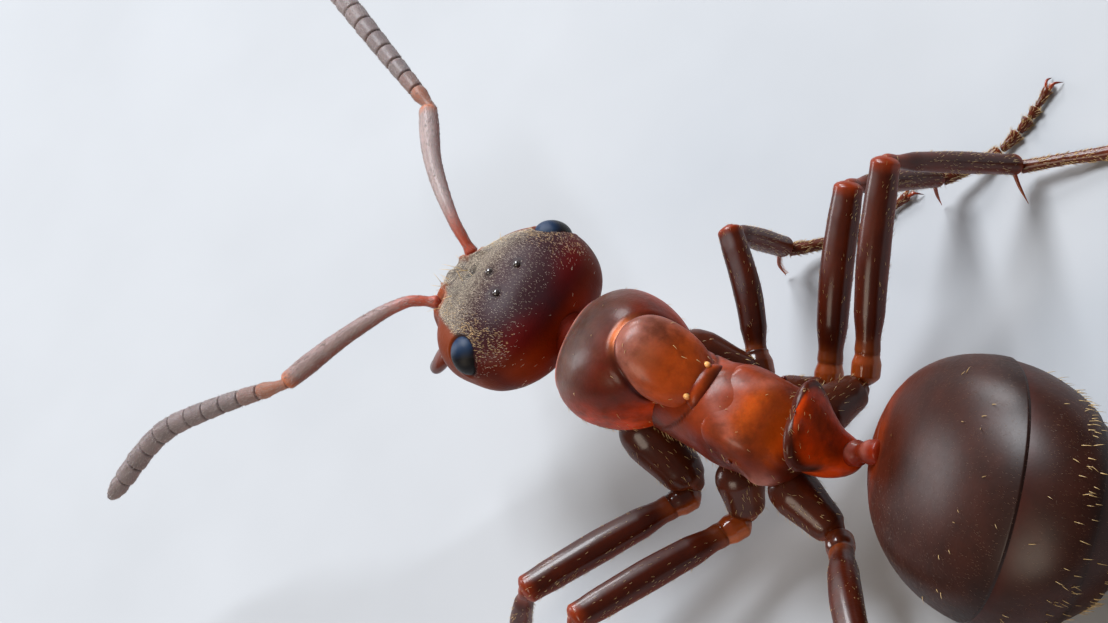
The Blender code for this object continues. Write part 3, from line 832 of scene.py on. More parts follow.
# ---- feelers
# how strong the painted sheen is on the upper side of each scape
SCAPE_SHEEN = {"left": 0.75, "right": 0.90}
SCAPE_PROFILE = (          # how far along it is, and its radius there
    (0, 0.050), (0.030, 0.070), (0.070, 0.052), (0.16, 0.058), (0.50, 0.084), (0.85, 0.104), (1, 0.092),
)
LASH_JOINTS = (0.135, 0.085, 0.082, 0.084, 0.086, 0.086, 0.086, 0.085, 0.084, 0.082, 0.105)
LASH_WIDTHS = (0.080, 0.086, 0.092, 0.098, 0.102, 0.106, 0.109, 0.110, 0.110, 0.106, 0.096)


def build_feelers():
    """Each feeler's scape, in one piece, and its lash of short joints, all under fine down."""
    coats = []
    for side, sign in SIDES:
        x, y, z = SOCKET
        socket = point_in(HEAD, x, sign * y, z)
        scape = limb((socket, *SCAPE_ROUTE[side]), SCAPE_PROFILE, 110, 40, domes=(0.6, 0.7))
        # painted sheen: pale grey on the upper side of the scape, from the light above
        sheen = ramp(scape.up(), -0.15, 0.75) * ramp(scape.t, 0.08, 0.35)
        scape.tint = layered(
            blend((0.400, 0.080, 0.045), (0.230, 0.060, 0.038), ramp(scape.t, 0.15, 0.45)),
            ((0.330, 0.260, 0.250), SCAPE_SHEEN[side] * sheen),
            ((0.520, 0.130, 0.030), 0.75 * ramp(scape.t, 0.90, 0.99)),
        )
        coats.append(Coat(scape, 1500, (0.025, 0.045), (8, 22), 0.0015))
        route = np.array((SCAPE_ROUTE[side][-1], *LASH_ROUTE[side]), float)
        ahead = route[2] - route[1]
        route[0] = route[1] - 0.12 * ahead / np.linalg.norm(ahead)
        parts, start = [], 0.0
        for k, share in enumerate(LASH_JOINTS):
            section = smooth_rows(route, np.linspace(start, start + share * 0.995, 7))
            width = LASH_WIDTHS[k]
            if k == 0:
                shape = ((0, 0.052), (0.35, 0.056), (0.8, 0.084), (1, 0.078))
            elif k == len(LASH_JOINTS) - 1:
                shape = ((0, width * 0.90), (0.3, width), (0.7, width * 0.78), (1, width * 0.36))
            else:
                shape = ((0, width * 0.90), (0.15, width * 0.96), (0.85, width * 1.02), (1, width * 0.96))
            joint = limb(section, shape, 26, 36, domes=(0.16, 0.18))
            old = min(0.45 + k / 3.0, 1.0)
            tone = blend((0.440, 0.120, 0.030), (0.200, 0.110, 0.090), np.full(joint.t.shape, old))
            # painted sheen: greyer on the upper side of each joint
            grey = 0.85 * ramp(joint.up(), -0.5, 0.4) * min((k + 1) / 3.0, 1.0)
            tone = blend(tone, (0.200, 0.165, 0.165), grey)
            joint.tint = blend(tone, (0.150, 0.090, 0.075), 0.3 * hump(joint.t, 1, 0.05))
            parts.append(joint)
            coats.append(Coat(joint, 330, (0.022, 0.038), (10, 26), 0.0015))
            start += share
        make("feeler_scape_" + side, [scape], FEELER_SHELL, "feeler", "scape_" + side)
        make("feeler_lash_" + side, parts, FEELER_SHELL, "feeler", "funiculus_" + side)
    hairs("down_feelers", coats, GREY_HAIR, seed=11)


# ---- torso
METANOTUM_FORM = (
    (-0.12, 0.00, 0.30, 0.30), (-0.17, 0.24, 0.52, 0.10), (-0.28, 0.28, 0.53, 0.10),
    (-0.36, 0.22, 0.46, 0.10), (-0.40, 0.00, 0.30, 0.30),
)
SIDE_FORM = (
    (1.00, 0.00, -0.20, -0.20), (0.92, 0.30, 0.10, -0.48), (0.60, 0.44, 0.34, -0.66),
    (0.15, 0.46, 0.42, -0.72), (-0.25, 0.475, 0.46, -0.70), (-0.50, 0.480, 0.450, -0.66),
    (-0.70, 0.455, 0.40, -0.61), (-0.86, 0.38, 0.30, -0.53), (-0.94, 0.00, -0.05, -0.05),
)
# Each spiracle's place on the left, its size, and how bright it is.
SPIRACLES = (((-0.20, 0.19, 0.485), 0.042, 1.0), ((-0.80, 0.505, 0.10), 0.030, 0.0))
# the shoulder bands are a painted rose highlight
SHOULDER = (0.45, 0.10)      # where the pale shoulder bands start: how far back, and how far out
SHOULDER_LINE = (0.857, 0.515)           # and which way they run: back and out


def rear_tint(x, y, z):
    """Colours of the middle body's rear: dark red sides, glowing orange behind, and painted rose highlights
    on the shoulders and crown.
    """
    glow = ramp(-x, 0.60, 0.88) * ramp(z, -0.12, 0.16) * (1 - 0.75 * ramp(np.abs(y), 0.24, 0.44))
    ahead, aside = -x - SHOULDER[0], np.abs(y) - SHOULDER[1]
    back, out = SHOULDER_LINE
    across = out * -ahead + back * aside
    along = back * ahead + out * aside
    band = hump(across, 0.0, 0.075) * ramp(along, -0.10, 0.05) * (1 - ramp(along, 0.46, 0.62))
    crown = hump(x, -0.44, 0.10) * hump(y, -0.04, 0.17)
    return layered(
        blend((0.110, 0.008, 0.001), (0.280, 0.040, 0.010), ramp(z, 0.16, 0.42)),
        ((0.560, 0.084, 0.004), glow),
        # painted highlights: rose bands on the shoulders and a rose patch on the crown
        (ROSE_PAINTED_HIGHLIGHT, (0.36 * band + 0.14 * crown) * ramp(z, 0.14, 0.32)),
    )


def build_torso():
    """The plates of the middle body, with grooves where they meet and painted shade in the seams."""
    meso = plate(MESONOTUM_FORM, THORAX, 130, 160)
    prono = plate(PRONOTUM_FORM, PRONOTUM, 170, 210)
    side = plate(SIDE_FORM, MESOTHORAX, 150, 190)
    band = plate(METANOTUM_FORM, THORAX, 60, 90)
    rear = plate(PROPODEUM_FORM, THORAX, 150, 190, square=2.6)

    at_meso = nearness(prono, meso, 0.10)
    at_prono = nearness(meso, prono, 0.08)
    x, y, z = prono.xyz
    rim = hump(x, 1.44, 0.020)
    hem = ramp(-z - 0.18 * np.abs(x - 0.9), 0.06, 0.15)
    prono.push(0.004 * hump(at_meso, 0.30, 0.25) - 0.014 * ramp(at_meso, 0.60, 1.0) + 0.014 * rim
               - 0.012 * hump(hem, 0.5, 0.4))
    # painted sheen: a pale grey-green haze over the pronotum's upper front, where the light above reflects
    painted_haze = ramp(x + 0.35 * z, 0.90, 1.40) * ramp(z, -0.15, 0.35)
    # painted glow: a bright orange crescent where light shines through the pronotum's hind edge by the
    # mesonotum
    glow = hump(x, 0.62, 0.15) * hump(y, -0.07, 0.15) * ramp(at_meso, 0.25, 0.7)
    prono.tint = layered(
        blend((0.110, 0.012, 0.004), (0.560, 0.046, 0.002), ramp(-z - 0.15 * (x - 0.6), -0.62, -0.15)),
        (PAINTED_HAZE_COLOUR, 0.90 * painted_haze),
        # painted shade in the seam under the mesonotum
        ((0.050, 0.004, 0.002), 0.85 * ramp(at_meso, 0.45, 0.85)),
        (PAINTED_GLOW, 1.2 * glow),
        ((0.020, 0.008, 0.008), 0.92 * hem),
        # painted highlight: a rose line along the raised collar edge
        (ROSE_PAINTED_HIGHLIGHT, 0.80 * rim),
    )
    make("pronotum_plate", [prono], THORAX_SHELL, "rust", "pronotum")

    x, y, z = meso.xyz
    meso.tint = layered(
        # paler pinkish grey towards the front: painted sheen from the light above
        blend((0.420, 0.062, 0.007), (0.300, 0.105, 0.075), ramp(x, 0.02, 0.50)),
        ((0.150, 0.045, 0.014), 0.5 * hump(x, 0.24, 0.14) * hump(y, 0.10, 0.16)),
        (RUST, 0.6 * ramp(-z, -0.62, -0.40)),
        # painted shade where the pronotum overlaps
        ((0.060, 0.006, 0.003), 0.85 * ramp(at_prono, 0.40, 0.95)),
    )
    meso.push(-0.016 * ramp(at_prono, 0.5, 1.0))
    make("mesonotum_plate", [meso], THORAX_SHELL, "rust", "mesonotum")

    seam = nearness(side, prono, 0.07)
    x, y, z = side.xyz
    slant = np.clip(hump(x + 0.9 * z, 0.10, 0.022) + hump(z - 0.25 * x, -0.34, 0.018), 0, 1)
    lobe = hump(x, 0.35, 0.12) * ramp(z, -0.2, 0.1)
    level = 0.018 + 0.035 * ramp(-y, 0.05, 0.35)
    side.push(level * ramp(-x, 0.15, 0.45) - 0.018 * slant - 0.006 * seam + 0.010 * lobe)
    side.tint = layered(
        blend((0.150, 0.013, 0.002), (0.250, 0.030, 0.003), hump(x, -0.15, 0.25) * ramp(z, -0.1, 0.3)),
        (CHESTNUT, 0.7 * ramp(-z, 0.05, 0.50)),
        (UMBER, 0.75 * slant),
        (rear_tint(x, y + MESOTHORAX_SHIFT, z), ramp(-x, 0.15, 0.40) * ramp(z, -0.25, 0.05)),
        # painted shade in the seam under the pronotum
        ((0.060, 0.009, 0.004), 0.60 * ramp(seam, 0.4, 0.95)),
    )
    make("mesothorax_sides", [side], THORAX_SHELL, "rust", "mesothorax")

    seam = np.maximum(nearness(band, meso, 0.06), nearness(band, rear, 0.05))
    colour = blend((0.110, 0.012, 0.003), (0.340, 0.045, 0.005), ramp(band.up(), 0.2, 0.9))
    # painted shade in the seams beside the mesonotum and the rear plate
    band.tint = blend(colour, BLOOD, 0.8 * ramp(seam, 0.4, 0.95))
    make("metanotum_band", [band], THORAX_SHELL, "rust")

    seam = nearness(rear, band, 0.05)
    x, y, z = rear.xyz
    half = np.abs(y)
    ridge = hump(half, 0.36, 0.06) * ramp(z, 0.20, 0.35) * ramp(-x, 0.30, 0.50) * (1 - ramp(-x, 1.0, 1.15))
    bulla = hump(x, -1.06, 0.15) * hump(z, -0.12, 0.12) * ramp(half, 0.3, 0.42)
    groove = hump(z + 0.10 * x, -0.40, 0.020) * ramp(half, 0.3, 0.4)
    saddle = hump(x, -0.62, 0.36) * hump(y, 0, 0.36) * ramp(z, 0.25, 0.45)
    shoulder = 1 - ramp(-x, 0.20, 0.50)
    rear.push(0.010 * ridge + 0.050 * bulla - 0.016 * groove - 0.060 * saddle - 0.004 * seam
              - 0.090 * shoulder)
    rear.tint = layered(
        # the gland bulb low on each side: its own pale colour with a painted rose highlight on it
        blend(rear_tint(x, y, z), ROSE_PAINTED_HIGHLIGHT, 0.95 * bulla),
        ((0.110, 0.012, 0.006), 0.55 * hump(x, -1.02, 0.12) * ramp(z, -0.1, 0.2)),
        (UMBER, 0.8 * groove + 0.4 * ramp(-z, 0.35, 0.55) * (1 - bulla)),
        # painted shade in the seam beside the metanotum band
        ((0.110, 0.010, 0.002), 0.45 * ramp(seam, 0.35, 0.9)),
    )
    make("propodeum_plate", [rear], THORAX_SHELL, "rust", "propodeum")

    spiracles = []
    for (x, y, z), size, pale in SPIRACLES:
        for sign in (1, -1):
            bead = ball((x, sign * y, z), (size, size * 0.8, size), THORAX, rings=20, sides=28)
            # painted highlight: pale yellow on each spiracle's upper side
            bright = blend((0.60, 0.14, 0.02), (1.0, 0.50, 0.16), ramp(bead.up(), -0.2, 0.9))
            bead.tint = blend(bright, BLOOD, np.full(bead.t.shape, 1 - pale))
            spiracles.append(bead)
    make("spiracles", spiracles, AMBER_SHELL, "amber")

    neck = limb([point_in(HEAD, -0.66, 0, -0.14), point_in(PRONOTUM, 1.40, 0, -0.12)],
                ((0, 0.24), (0.5, 0.23), (1, 0.27)), 20, 40)
    neck.tint = (0.080, 0.005, 0.001)
    neck.push(0.012 * np.sin(neck.t * 9 * pi))
    make("neck_collar", [neck], NECK_SHELL, "rust", "neck")
    hairs("setae_torso", [
        Coat(prono, 150, (0.035, 0.075), (30, 65), 0.0026,
             where=0.15 + hump(prono.local[..., 2], -0.10, 0.12) * 4, stray=30),
        Coat(meso, 22, (0.05, 0.08), (40, 75), 0.0026, stray=30),
        Coat(side, 200, (0.05, 0.10), (35, 70), 0.0030, stray=35,
             where=ramp(-side.local[..., 2], 0.0, 0.4)),
        Coat(rear, 50, (0.035, 0.06), (35, 70), 0.0028, stray=35),
    ], GOLD_HAIR, seed=5)
    return rear


def build_waist(rear):
    """The petiole: a stalk that rises into an upright scale, and the jointed stalk behind it that reaches
    the gaster.
    """
    rings, sides = 90, 110
    t = crowded(rings, POLE)
    z, depth, width = smooth_rows(PETIOLE_FORM, t).T
    angle = angles_round(sides)
    local = np.stack([depth[:, None] * np.cos(angle), width[:, None] * np.sin(angle),
                      np.broadcast_to(z[:, None], (rings, sides))], axis=2)
    scale = Skin(local, t, angle, PETIOLE)
    x, y, z = scale.xyz
    notch = ramp(z, 0.55, 0.8) * hump(y, 0, 0.12)
    scale.push(-0.03 * notch - 0.012 * hump(y, 0, 0.10) * ramp(-x, 0, 0.1))
    # painted shade: the scale's front crest is dark where it faces the shadowed gap before the rear plate
    painted_crest_shade = ramp(x / (depth[:, None] + 1e-6), -0.80, -0.45) * ramp(z, 0.0, 0.2)
    scale.tint = layered(
        blend((0.720, 0.058, 0.002), (0.800, 0.076, 0.003), hump(z, 0.30, 0.30)),
        ((0.140, 0.028, 0.005), 0.65 * hump(z, 0.48, 0.12) * hump(y, -0.08, 0.14)),
        ((0.140, 0.028, 0.005), 0.5 * hump(z, 0.14, 0.10) * hump(y, 0.10, 0.12)),
        (CHESTNUT, 0.6 * ramp(-z, -0.02, 0.25)),
        ((0.030, 0.005, 0.002), 0.95 * painted_crest_shade),
        # painted shade where the scale stands close to the rear plate
        (UMBER, 0.6 * ramp(nearness(scale, rear, 0.08), 0.2, 0.9)),
    )
    low = point_in(PETIOLE, -0.18, 0, -0.16)
    front = point_in(GASTER, 1.34, 0, -0.28)
    joint = limb([low, (low + front) / 2 + (0, 0, 0.05), front],
                 ((0, 0.15), (0.28, 0.12), (0.42, 0.135), (0.54, 0.100), (0.72, 0.130), (1, 0.13)), 80, 56)
    bead = hump(joint.t, 0.40, 0.09) + hump(joint.t, 0.72, 0.07)
    # painted highlight: pinkish on the upper side of each bead
    bead = bead * ramp(joint.up(), 0.35, 0.9)
    joint.tint = blend((0.220, 0.016, 0.002), (0.440, 0.130, 0.100), 0.85 * bead)
    make("petiole_scale", [scale, joint], THORAX_SHELL, "rust", "petiole")
    hairs("setae_petiole", [Coat(scale, 50, (0.05, 0.08), (50, 80), 0.0028,
                                 where=ramp(z, 0.3, 0.7), stray=30)], GOLD_HAIR, seed=6)


# ---- gaster
TUCK = 0.045                 # how far a plate runs on under the one before it
STEP = 0.024                 # how far a plate's hind edge stands over the next
SETAE_COUNTS = (26, 210, 220, 120, 60)   # hairs on each plate: long ones
DOWN_COUNTS = (3000, 2600, 1300, 500, 160)         # and short ones


def build_gaster():
    """Overlapping plates, each with its hind edge standing a little proud of the next."""
    setae, down = [], []
    for number, (start, end) in enumerate(zip(GASTER_SPLITS, GASTER_SPLITS[1:]), 1):
        first, last = number == 1, number == len(GASTER_SPLITS) - 1
        span = (start if first else start - TUCK, end)
        skin = plate(GASTER_FORM, GASTER, 150 if number < 3 else 80, 220, span=span, slope=GASTER_SLOPE,
                     swell=-0.02)
        part = (skin.t - span[0]) / (span[1] - span[0])
        rise = 0.0 if last else STEP * part**2
        lip = 0.0 if last else ramp(part, 0.985, 1.0)
        flank = hump(np.degrees(skin.angle), 325, 2.0) + hump(np.degrees(skin.angle), 215, 2.0)
        skin.push(rise - 0.03 * lip - 0.014 * flank * (1 - hump(part, 0, 0.1)))
        x, _, z = skin.xyz
        colour = blend((0.034, 0.008, 0.004), (0.090, 0.022, 0.008), 0.6 * ramp(-z, 0.0, 0.9))
        if first:
            colour = layered(
                colour,
                ((0.075, 0.012, 0.004), 0.80 * ramp(x, 0.9, 1.38)),
                ((0.200, 0.024, 0.003), 0.7 * ramp(x, 1.30, 1.45)),
            )
        else:
            colour = blend(colour, (0.060, 0.005, 0.001), 0.8 * (1 - ramp(part, 0.05, 0.35)))
        if not last:
            # painted shade: each plate darkens just before its hind edge, along the line where it overlaps
            # the next
            colour = blend(colour, (0.016, 0.004, 0.002), 0.80 * ramp(part, 0.86, 0.97))
        skin.tint = blend(colour, SOOT, 0.5 * flank)
        make("gaster_plate_%d" % number, [skin], GASTER_SHELL, "gaster", "gaster_%d" % number)
        shown = ramp(part, 0.0 if first else 0.25, 0.4 if first else 0.45)
        row = hump(part, 0.80, 0.10)
        setae.append(Coat(skin, SETAE_COUNTS[number - 1], (0.07, 0.13), (30, 55), 0.0042, bend=0.4, stray=16,
                          where=shown * (0.02 if first else 0.25) + 3.0 * row))
        down.append(Coat(skin, DOWN_COUNTS[number - 1], (0.022, 0.036), (2, 7), 0.0009, where=shown))
    hairs("setae_gaster", setae, GOLD_HAIR, seed=21)
    hairs("down_gaster", down, DARK_HAIR, seed=22)


# ---- legs
FORE_RIGHT_BOW = (-0.09, 0.0, -0.09)     # this femur bends further than the others
SLIM = {"fore_right": 0.84}              # how thick a femur is beside the others
DARK_TROCHANTERS = ("fore_left", "fore_right", "hind_left")
LOWEST_ANKLE = 0.28                      # how low an ankle may come
COXA_RADIUS = {"fore": 0.285, "mid": 0.245, "hind": 0.245}
SPUR_LENGTH = {"fore": 0.36, "mid": 0.34, "hind": 0.40}
# Profiles are rows of how far along a limb is, from 0 to 1, and its radius there.
FEMUR_PROFILE = (
    (0, 0.116), (0.05, 0.136), (0.10, 0.130), (0.24, 0.164), (0.50, 0.176), (0.80, 0.168),
    (0.92, 0.156), (0.97, 0.156), (1, 0.144),
)
TIBIA_PROFILE = (
    (0, 0.074), (0.07, 0.078), (0.20, 0.112), (0.55, 0.126), (0.92, 0.116), (0.97, 0.120), (1, 0.100),
)
FOOT_JOINTS = (0.46, 0.17, 0.12, 0.09, 0.16)       # each joint's share of the foot
FOOT_WIDTHS = (0.064, 0.060, 0.058, 0.056, 0.046)
FOOT_HAIRS = (330, 110, 90, 70, 60)


def build_leg(name, leg, coats):
    """Coxa, trochanter, femur, tibia with its spur, tarsus and claws of one leg."""
    pair = name.split("_")[0]
    hip = point_in(THORAX, *leg["hip"])
    coxa_end = hip + heading(*leg["coxa"])
    step = heading(*leg["femur"])
    along = unit(step)
    femur_start = coxa_end + along * TROCHANTER_LENGTH
    knee = coxa_end + step
    ankle = knee + heading(*leg["tibia"])
    ankle[2] = max(ankle[2], LOWEST_ANKLE)

    widest = COXA_RADIUS[pair]
    coxa = limb([hip, (hip + coxa_end) / 2, coxa_end],
                ((0, widest * 0.90), (0.35, widest * 1.04), (0.75, widest * 0.82), (1, 0.150)),
                70, 64, domes=(0.8, 0.45))
    coxa.push(-0.012 * hump(coxa.t, 0.93, 0.04) + 0.016 * hump(coxa.t, 0.99, 0.03))
    colour = blend((0.060, 0.011, 0.003), (0.160, 0.026, 0.003), ramp(-coxa.up(), -0.4, 0.5))
    coxa.tint = blend(colour, (0.220, 0.040, 0.006), 0.6 * ramp(coxa.t, 0.88, 1.0))
    make("leg_coxa_" + name, [coxa], LEG_SHELL, "leg", "coxa_" + name)
    coats.append(Coat(coxa, 80, (0.045, 0.08), (25, 55), 0.0020, bend=0.4,
                      where=ramp(coxa.t, 0.1, 0.4), stray=20))

    trochanter = limb([coxa_end - along * 0.02, (coxa_end + femur_start) / 2, femur_start + along * 0.05],
                      ((0, 0.095), (0.30, 0.150), (0.62, 0.152), (0.86, 0.128), (1, 0.134)),
                      50, 48, domes=(0.7, 0.2))
    colour = blend((0.230, 0.038, 0.004), (0.440, 0.090, 0.008), ramp(-trochanter.up(), -0.8, 0.1))
    if name in DARK_TROCHANTERS:
        colour = blend((0.110, 0.016, 0.002), (0.380, 0.075, 0.006), ramp(-trochanter.up(), -0.7, 0.2))
        colour = blend(colour, (0.045, 0.008, 0.002), 0.8 * ramp(trochanter.up(), 0.2, 0.8))
    trochanter.tint = blend(colour, UMBER, 0.7 * ramp(np.abs(trochanter.t - 0.5), 0.34, 0.46))
    make("leg_trochanter_" + name, [trochanter], AMBER_SHELL, "amber", "trochanter_" + name)

    middle = (femur_start + knee) / 2 + (0, 0, leg["bow"])
    if name == "fore_right":
        middle = middle + FORE_RIGHT_BOW
    shin = unit(ankle - knee)
    profile = [(t, radius * SLIM.get(name, 1.0)) for t, radius in FEMUR_PROFILE]
    femur = limb([femur_start - along * 0.05, middle, knee + along * 0.06], profile, 140, 64,
                 depth=0.94, domes=(0.2, 0.45))
    # painted sheen: pale on the upper side of the femur, from the light above
    sheen = ramp(femur.up(), 0.82, 0.97) * ramp(femur.t, 0.04, 0.2)
    # lighter orange red at the knee end: partly the joint's own colour, partly a painted glint
    knee_glow = ramp(femur.t, 0.90, 0.97)
    femur.tint = layered(
        blend((0.160, 0.018, 0.002), (0.050, 0.006, 0.001), ramp(femur.up(), -0.50, 0.35)),
        ((0.230, 0.044, 0.006), 0.7 * (1 - ramp(femur.t, 0.03, 0.16))),
        ((0.150, 0.115, 0.110), 0.65 * sheen),
        ((0.300, 0.034, 0.004), 0.75 * knee_glow),
    )
    hinge = limb([knee - along * 0.08, knee + shin * 0.02 - along * 0.01, knee + shin * 0.16],
                 ((0, 0.060), (0.35, 0.090), (0.7, 0.078), (1, 0.072)), 30, 40, domes=(0.9, 0.3))
    # painted highlight: paler pink on the hinge's upper side
    hinge.tint = blend((0.150, 0.016, 0.003), (0.240, 0.050, 0.028), ramp(hinge.up(), 0.1, 0.9))
    make("leg_femur_" + name, [femur, hinge], LEG_SHELL, "leg", "femur_" + name)
    rows = hump(femur.angle, 1.35 * pi, 0.22) + hump(femur.angle, 1.65 * pi, 0.22)
    edges = hump(femur.angle, 0.0, 0.35) + hump(femur.angle, pi, 0.35) + 0.25
    coats.append(Coat(femur, 80, (0.04, 0.07), (25, 45), 0.0024, bend=0.3,
                      where=rows * ramp(femur.t, 0.05, 0.15), stray=10))
    coats.append(Coat(femur, 150, (0.028, 0.046), (14, 34), 0.0017,
                      where=edges * ramp(femur.t, 0.05, 0.2)))

    tibia = limb([knee + shin * 0.06, (knee + ankle) / 2 + (0, 0, 0.02), ankle],
                 TIBIA_PROFILE, 120, 56, depth=0.9, domes=(0.3, 0.5))
    tibia.tint = layered(
        blend((0.120, 0.014, 0.002), (0.058, 0.007, 0.001), ramp(tibia.up(), -0.60, 0.30)),
        ((0.220, 0.030, 0.005), 0.7 * (1 - ramp(tibia.t, 0.02, 0.16))),
        ((0.240, 0.032, 0.005), 0.8 * ramp(tibia.t, 0.92, 0.99)),
    )
    make("leg_tibia_" + name, [tibia], LEG_SHELL, "leg", "tibia_" + name)
    under = hump(tibia.angle, 1.5 * pi, 0.30) + 0.3
    coats.append(Coat(tibia, 150, (0.040, 0.065), (20, 38), 0.0021, bend=0.3,
                      where=under * ramp(tibia.t, 0.1, 0.25), stray=10))
    coats.append(Coat(tibia, 160, (0.025, 0.045), (8, 22), 0.0017,
                      where=ramp(tibia.t, 0.08, 0.2)))

    length, start_bearing, end_bearing = leg["tarsus"]
    route = [ankle]
    steps = len(FOOT_JOINTS)
    for k in range(steps):
        bearing = start_bearing + (end_bearing - start_bearing) * (k + 0.5) / steps
        route.append(route[-1] + heading(length / steps, bearing, 0))
    build_foot(name, np.array(route), coats)
    build_spur(name, pair, ankle, shin, heading(1, start_bearing, 0))


def build_foot(name, route, coats):
    """Five tarsus joints that come down from the ankle and lie on the floor, and two claws."""
    marks = np.linspace(0, 1, len(route))
    route = route.copy()
    route[:, 2] = 0.06 + (route[0, 2] - 0.10) * (1 - ramp(marks, -0.1, 0.52))
    parts, start = [], 0.0
    for k, (share, width) in enumerate(zip(FOOT_JOINTS, FOOT_WIDTHS)):
        section = smooth_rows(route, np.linspace(start, start + share * 0.985, 7))
        if k == 0:
            shape = ((0, 0.072), (0.06, 0.066), (0.5, 0.060), (0.93, 0.072), (1, 0.060))
        elif k == len(FOOT_JOINTS) - 1:
            shape = ((0, 0.030), (0.4, 0.036), (0.85, 0.052), (1, 0.044))
        else:
            shape = ((0, width * 0.62), (0.5, width * 0.85), (0.9, width * 1.15), (1, width * 0.95))
        joint = limb(section, shape, 40 if k == 0 else 22, 32, domes=(0.3, 0.4), on_floor=True)
        colour = blend((0.145, 0.036, 0.014), CHESTNUT, ramp(joint.up(), -0.2, 0.6))
        joint.tint = blend(colour, RUST, 0.55 * ramp(joint.t, 0.85, 1.0))
        parts.append(joint)
        coats.append(Coat(joint, FOOT_HAIRS[k], (0.035, 0.065), (18, 40), 0.0028, bend=0.3))
        start += share
    make("leg_tarsus_" + name, parts, LEG_SHELL, "leg", "tarsus_" + name)

    tip = smooth_rows(route, np.array([0.985]))[0]
    ahead = unit(route[-1] - route[-2])
    across = np.cross(ahead, (0, 0, 1))
    claws = []
    for sign in (1, -1):
        base = tip + across * sign * 0.022 + (0, 0, 0.005)
        end = tip + ahead * 0.15 + across * sign * 0.085 - (0, 0, tip[2] - 0.008)
        claw = spike(base, end, 0.019, bend=(0, 0, 0.050))
        claw.tint = blend(RUST, UMBER, ramp(claw.t, 0.3, 0.9))
        claws.append(claw)
    pad = ball((0, 0, 0), (0.034, 0.034, 0.020), rings=14, sides=18)
    pad.world = pad.local + tip + ahead * 0.055 - (0, 0, 0.012)
    pad.tint = FAWN
    make("claws_" + name, claws + [pad], AMBER_SHELL, "leg")


def build_spur(name, pair, ankle, shin, foot):
    """The spur under the tibia's end. The fore one is a curved comb."""
    under = unit(foot - shin * np.dot(foot, shin))
    base = ankle - shin * 0.06 - under * 0.05 + (0, 0, -0.04)
    inward = np.array((0.0, -np.sign(ankle[1] + 0.5), 0.0))
    away = shin * 0.45 + inward * 0.55 - np.array((0.0, 0.0, 0.55))
    if pair == "hind":
        away = inward * 0.50 - np.array((0.52, 0.0, 0.60))
    tip = base + unit(away) * SPUR_LENGTH[pair]
    tip[2] = max(tip[2], 0.02)
    bow = -under * (0.05 if pair == "fore" else 0.015)
    spur = spike(base, tip, 0.026, bend=bow, sides=14, rings=24)
    spur.tint = blend(RUST, AMBER, ramp(spur.t, 0.0, 0.8))
    parts = [spur]
    if pair == "fore":
        line = smooth_rows([base, (base + tip) / 2 + bow, tip], np.linspace(0.2, 0.92, 16))
        for point in line:
            tooth = spike(point, point + under * 0.05, 0.006, sides=6, rings=6)
            tooth.tint = AMBER
            parts.append(tooth)
    make("spur_" + name, parts, AMBER_SHELL, "leg")


# ---- scene
VIEW_AZIMUTH = 168.0         # where the camera stands, round from the way the ant looks
VIEW_ELEVATION = 45.0
VIEW_ROLL = -48.1
VIEW_CENTRE = (0.742, 0.130, 3.048)
VIEW_WIDTH = 11.08           # what the picture spans, in millimetres
VIEW_DISTANCE = 150.0
SENSOR = 36.0
LAMPS = {                    # bearing, lift, distance, size, watts and colour
    "lamp_over": (-36, 62, 90, 40, 0.100, (0.90, 0.95, 1.0)),
    "lamp_front": (-38, 30, 110, 30, 0.055, (0.95, 0.97, 1.0)),
    "lamp_rim": (17, 20, 110, 30, 0.030, (0.96, 0.97, 1.0)),
    "lamp_left": (106, 36, 120, 60, 0.062, (1.0, 0.87, 0.72)),
}
SKY = (0.80, 0.83, 0.88, 1.0)
SKY_STRENGTH = 0.14
FLOOR_SIZE = 800.0
FLOOR_COLOUR = (0.44, 0.45, 0.47)


def facing(towards):
    """The rotation of a camera or a lamp that looks back along towards."""
    return towards.to_track_quat("Z", "Y").to_matrix().to_4x4()


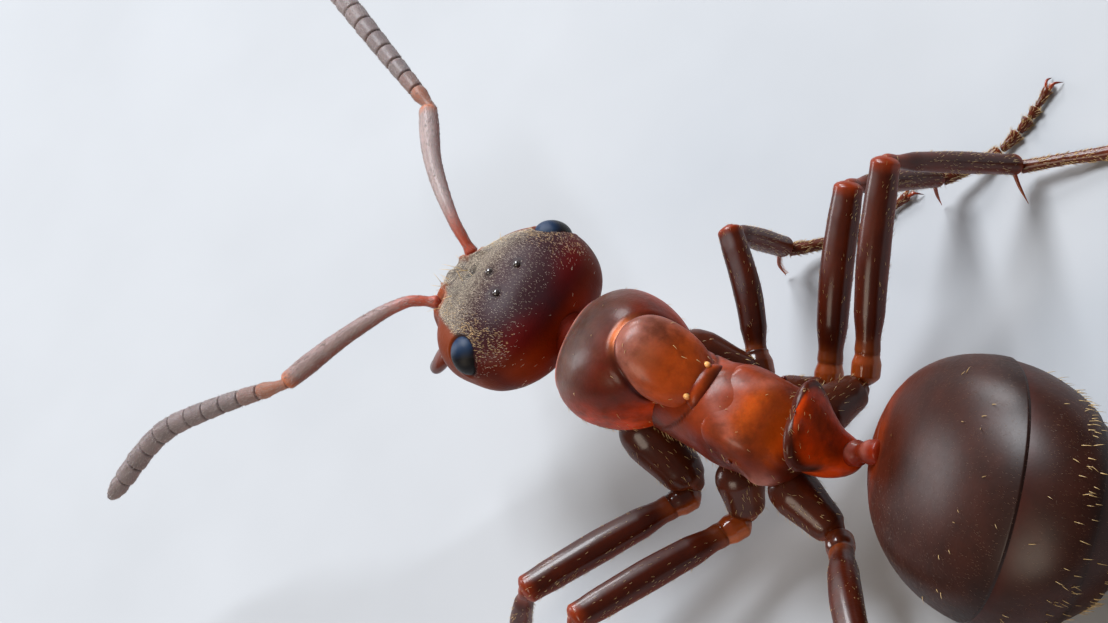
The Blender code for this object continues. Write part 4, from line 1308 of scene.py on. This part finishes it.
def build_camera():
    data = bpy.data.cameras.new("camera")
    data.sensor_width = SENSOR
    data.lens = SENSOR * VIEW_DISTANCE / VIEW_WIDTH
    data.clip_start, data.clip_end = 0.01, 10.0      # in metres
    data.dof.use_dof = False
    camera = linked("camera", data)
    towards = Vector(heading(1.0, VIEW_AZIMUTH, VIEW_ELEVATION))
    spin = facing(towards) @ Matrix.Rotation(radians(VIEW_ROLL), 4, "Z")
    place = (Vector(VIEW_CENTRE) + towards * VIEW_DISTANCE) * MILLIMETRE
    camera.matrix_world = Matrix.Translation(place) @ spin
    bpy.context.scene.camera = camera


def softbox(name, bearing, lift, distance, size, watts, colour):
    """A soft square lamp that faces the ant."""
    data = bpy.data.lights.new(name, "AREA")
    data.shape = "SQUARE"
    data.size = size * MILLIMETRE
    data.energy = watts
    data.color = colour
    lamp = linked(name, data)
    lamp.visible_camera = False
    towards = Vector(heading(1.0, bearing, lift))
    lamp.matrix_world = Matrix.Translation(towards * distance * MILLIMETRE) @ facing(towards)


def build_studio():
    """The lamps, a dim even sky and the pale floor."""
    for name, lamp in LAMPS.items():
        softbox(name, *lamp)
    world = bpy.data.worlds.new("world")
    world.use_nodes = True
    fill(world.node_tree, world.node_tree.nodes["Background"], {"Color": SKY, "Strength": SKY_STRENGTH})
    bpy.context.scene.world = world
    bpy.context.scene.view_settings.view_transform = "Standard"

    half = FLOOR_SIZE / 2 * MILLIMETRE
    mesh = bpy.data.meshes.new("floor")
    mesh.from_pydata([(-half, -half, 0), (half, -half, 0), (half, half, 0), (-half, half, 0)], [],
                     [(0, 1, 2, 3)])
    material, _ = plain_material("floor", FLOOR_COLOUR, 0.4, 0.97, 1.03, 0.85)
    mesh.materials.append(material)
    floor = linked("floor", mesh)


build_camera()
head = head_skin()
tint_head(head)
make("head_capsule", [head], HEAD_SHELL, "head", "head")
build_head_down(head)
build_eyes()
build_ocelli(head)
build_jaws()
build_mouth()
build_feelers()
build_waist(build_torso())
build_gaster()
leg_coats = []
for leg_name, leg_pose in LEGS.items():
    build_leg(leg_name, leg_pose, leg_coats)
hairs("bristles_legs", leg_coats, GOLD_HAIR, seed=31)
build_studio()
